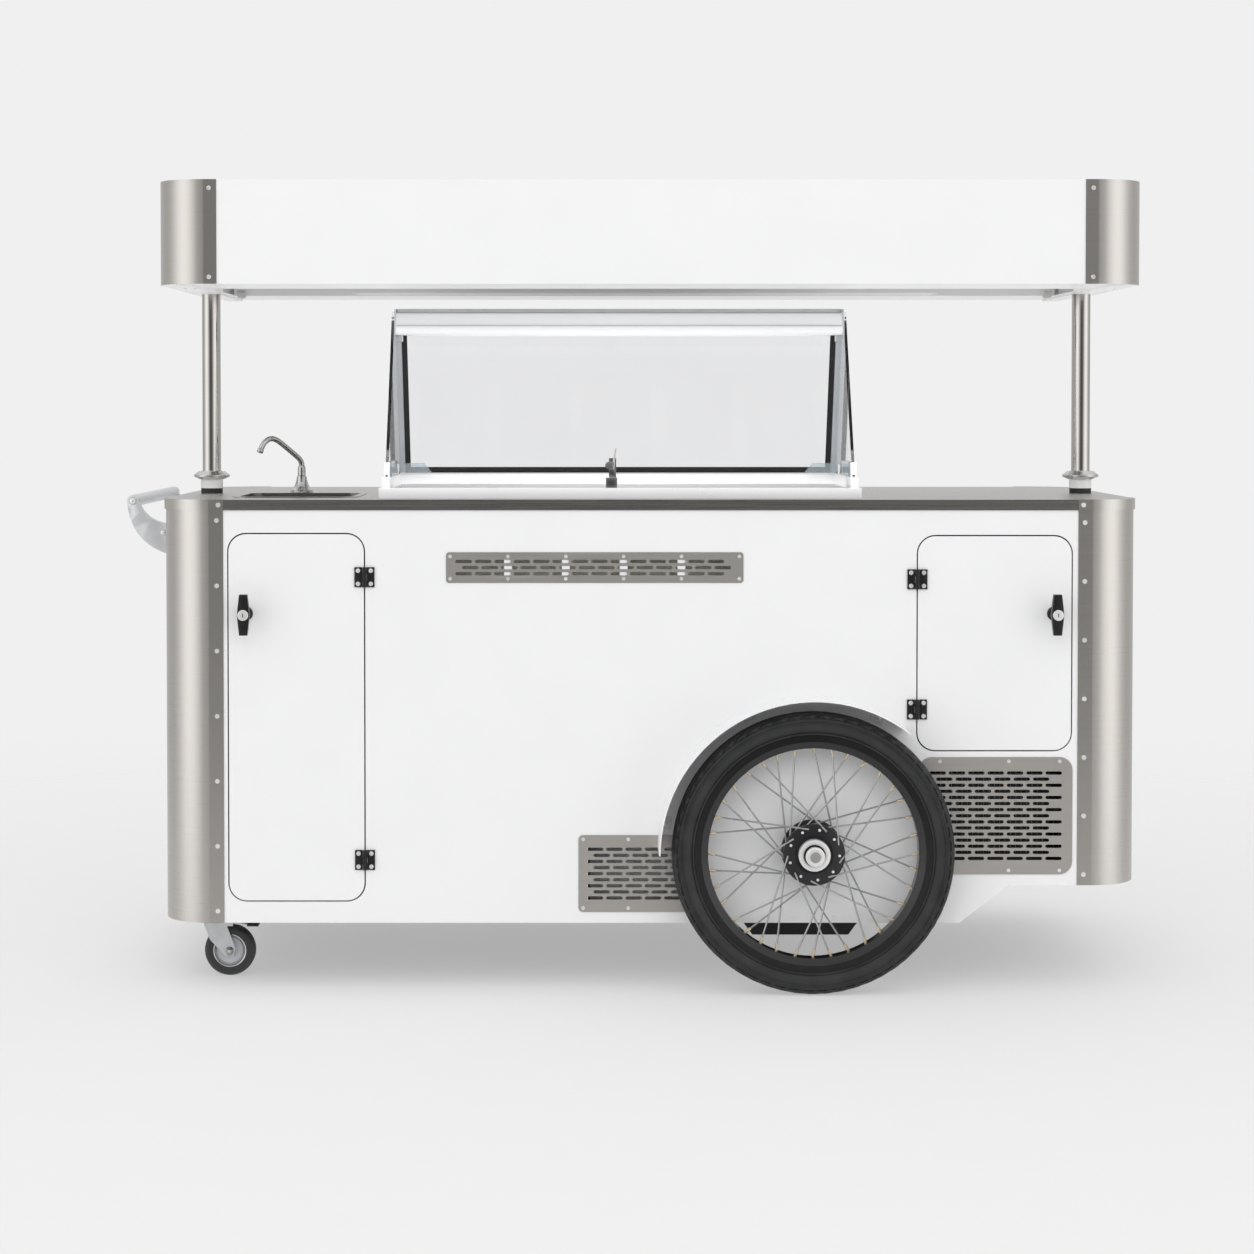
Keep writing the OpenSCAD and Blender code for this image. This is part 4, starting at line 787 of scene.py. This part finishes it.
def handle():
    """Bolts through the arms of the push handle."""
    grip = lo("push_handle").x + 0.012
    z = hi("push_handle").z - 0.012
    bm = bmesh.new()
    for s in (-1, 1):
        y = (hi if s > 0 else lo)("push_handle").y
        for x, zz, r in ((grip, z, 5.5), (grip + 0.060, z - 0.062, 4.0)):
            profile = ((r * 1.5, -0.3), (r * 1.5, 0.7), (r, 0.9), (r * 0.9, 3.0), (r * 0.6, 3.8), (0, 4.0))
            add_lathe(bm, in_mm(profile), (x, y, zz), (0, s, 0), 28)
    piece("handle_bolts", bm, M["bright_steel"], "root")


handle()


# ---- body: pole rings, machine fins ----

def body_details():
    """Polished rings on the pole collars, and the fins and tubes of the condenser's coil."""
    bm = bmesh.new()
    for s in (-1, 1):
        x = (hi if s > 0 else lo)("pole_collars").x - s * 0.0368
        for z, r in ((hi("pole_collars").z * 1000, 20.6), (lo("pole_collars").z * 1000 + 7, 36.9)):
            ring = ((r - 1.2, -1.2), (r + 0.1, -1.0), (r + 0.5, 0), (r + 0.1, 1.0), (r - 1.2, 1.2))
            add_lathe(bm, in_mm(ring), (x, 0, z * MM), (0, 0, 1), 64, closed=True)
    piece("collar_rings", bm, M["pole_steel"], "root")
    a, b = lo("condensing_unit"), hi("condensing_unit")
    bm = bmesh.new()
    count = 26
    for i in range(count):
        x = a.x + 0.010 + (b.x - a.x - 0.02) * i / (count - 1)
        add_box(bm, (x - 0.0005, a.y - 0.006, a.z + 0.022), (x + 0.0005, a.y - 0.0005, b.z - 0.022))
    for k in range(5):
        z = a.z + 0.03 + (b.z - a.z - 0.06) * k / 4
        add_tube(bm, [(a.x + 0.006, a.y - 0.003, z), (b.x - 0.006, a.y - 0.003, z)], 2.2 * MM, 10)
    piece("coil_fins", bm, M["coil"], "root")


body_details()
EDGE_WIDTHS = {
    "t_handle_left": 1.6, "t_handle_right": 1.6, "hinge_frames": 0.5, "door_left_leaves": 0.5,
    "door_right_leaves": 0.5, "display_base": 2.0, "push_handle": 2.0, "header": 1.2, "latch_post": 0.8,
    "near_brake_pedal": 1.0, "far_brake_pedal": 1.0, "condensing_unit": 1.0, "electrical_box": 2.0,
}
for name, width in EDGE_WIDTHS.items():
    soften(name, width)


# ---- camera, light and floor ----

BACKDROP = 0.871        # brightness of the backdrop
FLOOR_TONE = 0.77       # brightness of the floor's paint
SHADOW_CLEAR = 0.45     # share of the backdrop that shows through the floor near the cart
OVERHEAD = 1.15         # light from straight above
FILL_WATTS = 80         # the broad front light
GAP_WATTS = 1.15        # the strip that lights the display, in front of it under the canopy
CANOPY_WATTS = 3.0      # the light that points up into the canopy
# Light of the dome by angle from straight ahead (0) to straight behind (1), and its fade to OVERHEAD by height
AZIMUTH_LIGHT = ((0.0, 0.05), (0.1, 0.06), (0.2, 0.62), (0.34, 0.9), (0.46, 0.42), (0.6, 0.2), (1.0, 0.41))
HEIGHT_SHARE = ((0.0, 0.0), (0.35, 0.05), (0.6, 0.9), (1.0, 1.0))


def camera():
    """The camera, in front of the near side and tilted down a little. The shift frames the cart."""
    data = bpy.data.cameras.new("camera")
    cam = bpy.data.objects.new("camera", data)
    scene.collection.objects.link(cam)
    tilt = math.radians(1.6)
    data.lens = 77.75
    data.sensor_width = 36
    data.shift_x = 0.0335
    data.shift_y = -0.179 + math.tan(tilt) * data.lens / data.sensor_width
    data.clip_end = 100
    cam.location = (origin_x - 0.1264, -5.6, 1.1287)
    cam.rotation_euler = (math.radians(90) - tilt, 0, 0)
    scene.camera = cam


def world():
    """A soft studio dome: dark straight ahead, then a bright bank of light on each side, then grey."""
    w = bpy.data.worlds.new("studio")
    scene.world = w
    w.use_nodes = True
    tree = w.node_tree
    link = tree.links.new
    out = tree.nodes["World Output"]
    lit = tree.nodes["Background"]
    seen = tree.nodes.new("ShaderNodeBackground")
    seen.inputs["Color"].default_value = (BACKDROP, BACKDROP, BACKDROP, 1)
    place = tree.nodes.new("ShaderNodeTexCoord")
    split = tree.nodes.new("ShaderNodeSeparateXYZ")
    link(place.outputs["Generated"], split.inputs["Vector"])

    def math_node(kind, a, b=None):
        n = tree.nodes.new("ShaderNodeMath")
        n.operation = kind
        for slot, value in ((0, a), (1, b)):
            if value is None:
                continue
            if isinstance(value, (int, float)):
                n.inputs[slot].default_value = value
            else:
                link(value, n.inputs[slot])
        return n.outputs[0]

    def ramp(value, stops):
        n = tree.nodes.new("ShaderNodeValToRGB")
        n.color_ramp.interpolation = "B_SPLINE"
        while len(n.color_ramp.elements) < len(stops):
            n.color_ramp.elements.new(0.5)
        for element, (place_at, level) in zip(n.color_ramp.elements, stops):
            element.position = place_at
            element.color = (level, level, level, 1)
        link(value, n.inputs["Fac"])
        return n.outputs["Color"]

    x, y, z = split.outputs
    turn = math_node("ARCTAN2", x, math_node("MULTIPLY", y, -1.0))
    angle = math_node("DIVIDE", math_node("ABSOLUTE", turn), math.pi)
    level = math_node("MULTIPLY", ramp(angle, AZIMUTH_LIGHT), 2.0)
    top = ramp(math_node("ABSOLUTE", z), HEIGHT_SHARE)
    over = math_node("MULTIPLY", top, OVERHEAD)
    around = math_node("MULTIPLY", level, math_node("SUBTRACT", 1.0, top))
    link(math_node("ADD", around, over), lit.inputs["Strength"])
    lit.inputs["Color"].default_value = (1, 1, 1, 1)
    path = tree.nodes.new("ShaderNodeLightPath")
    mix = tree.nodes.new("ShaderNodeMixShader")
    straight = math_node("MAXIMUM", path.outputs["Is Camera Ray"], path.outputs["Is Transmission Ray"])
    link(straight, mix.inputs["Fac"])
    link(lit.outputs[0], mix.inputs[1])
    link(seen.outputs[0], mix.inputs[2])
    link(mix.outputs[0], out.inputs["Surface"])


def soft_light(name, watts, size, place, tilt):
    """A broad light from the front that the metal doesn't mirror."""
    data = bpy.data.lights.new(name, "AREA")
    data.shape = "RECTANGLE"
    data.size, data.size_y = size
    data.energy = watts
    obj = bpy.data.objects.new(name, data)
    scene.collection.objects.link(obj)
    obj.location = place
    obj.rotation_euler = (math.radians(tilt), 0, 0)
    obj.visible_glossy = False
    obj.visible_camera = False
    obj.visible_transmission = False


def floor():
    """A pale floor that fades into the backdrop with distance, and takes a soft shadow."""
    bm = bmesh.new()
    bmesh.ops.create_grid(bm, x_segments=1, y_segments=1, size=30)
    mesh = bpy.data.meshes.new("floor")
    bm.to_mesh(mesh)
    bm.free()
    obj = bpy.data.objects.new("floor", mesh)
    scene.collection.objects.link(obj)
    mat = material("floor", (FLOOR_TONE, FLOOR_TONE, FLOOR_TONE), 0.9, mottle=0.004, bump=0.0)
    tree = mat.node_tree
    link = tree.links.new
    bsdf = tree.nodes["Principled BSDF"]
    bsdf.inputs["Specular IOR Level"].default_value = 0.1
    clear = tree.nodes.new("ShaderNodeBsdfTransparent")
    mix = tree.nodes.new("ShaderNodeMixShader")
    place = tree.nodes.new("ShaderNodeTexCoord")
    length = tree.nodes.new("ShaderNodeVectorMath")
    length.operation = "LENGTH"
    link(place.outputs["Object"], length.inputs[0])
    fade = tree.nodes.new("ShaderNodeMapRange")
    fade.interpolation_type = "SMOOTHERSTEP"
    fade.inputs["From Min"].default_value = 1.2
    fade.inputs["From Max"].default_value = 5.0
    fade.inputs["To Min"].default_value = SHADOW_CLEAR
    fade.inputs["To Max"].default_value = 1.0
    link(length.outputs["Value"], fade.inputs["Value"])
    link(fade.outputs["Result"], mix.inputs["Fac"])
    link(bsdf.outputs[0], mix.inputs[1])
    link(clear.outputs[0], mix.inputs[2])
    link(mix.outputs[0], tree.nodes["Material Output"].inputs["Surface"])
    mesh.materials.append(mat)


scene.view_settings.view_transform = "Standard"
camera()
world()
soft_light("fill", FILL_WATTS, (5.0, 4.0), (0, -6.5, 4.0), 64)
soft_light("display_fill", GAP_WATTS, (1.7, 0.1), (origin_x, -0.4, 1.06), 105)
soft_light("canopy_fill", CANOPY_WATTS, (1.7, 0.5), (origin_x, 0, 0.96), 180)
floor()
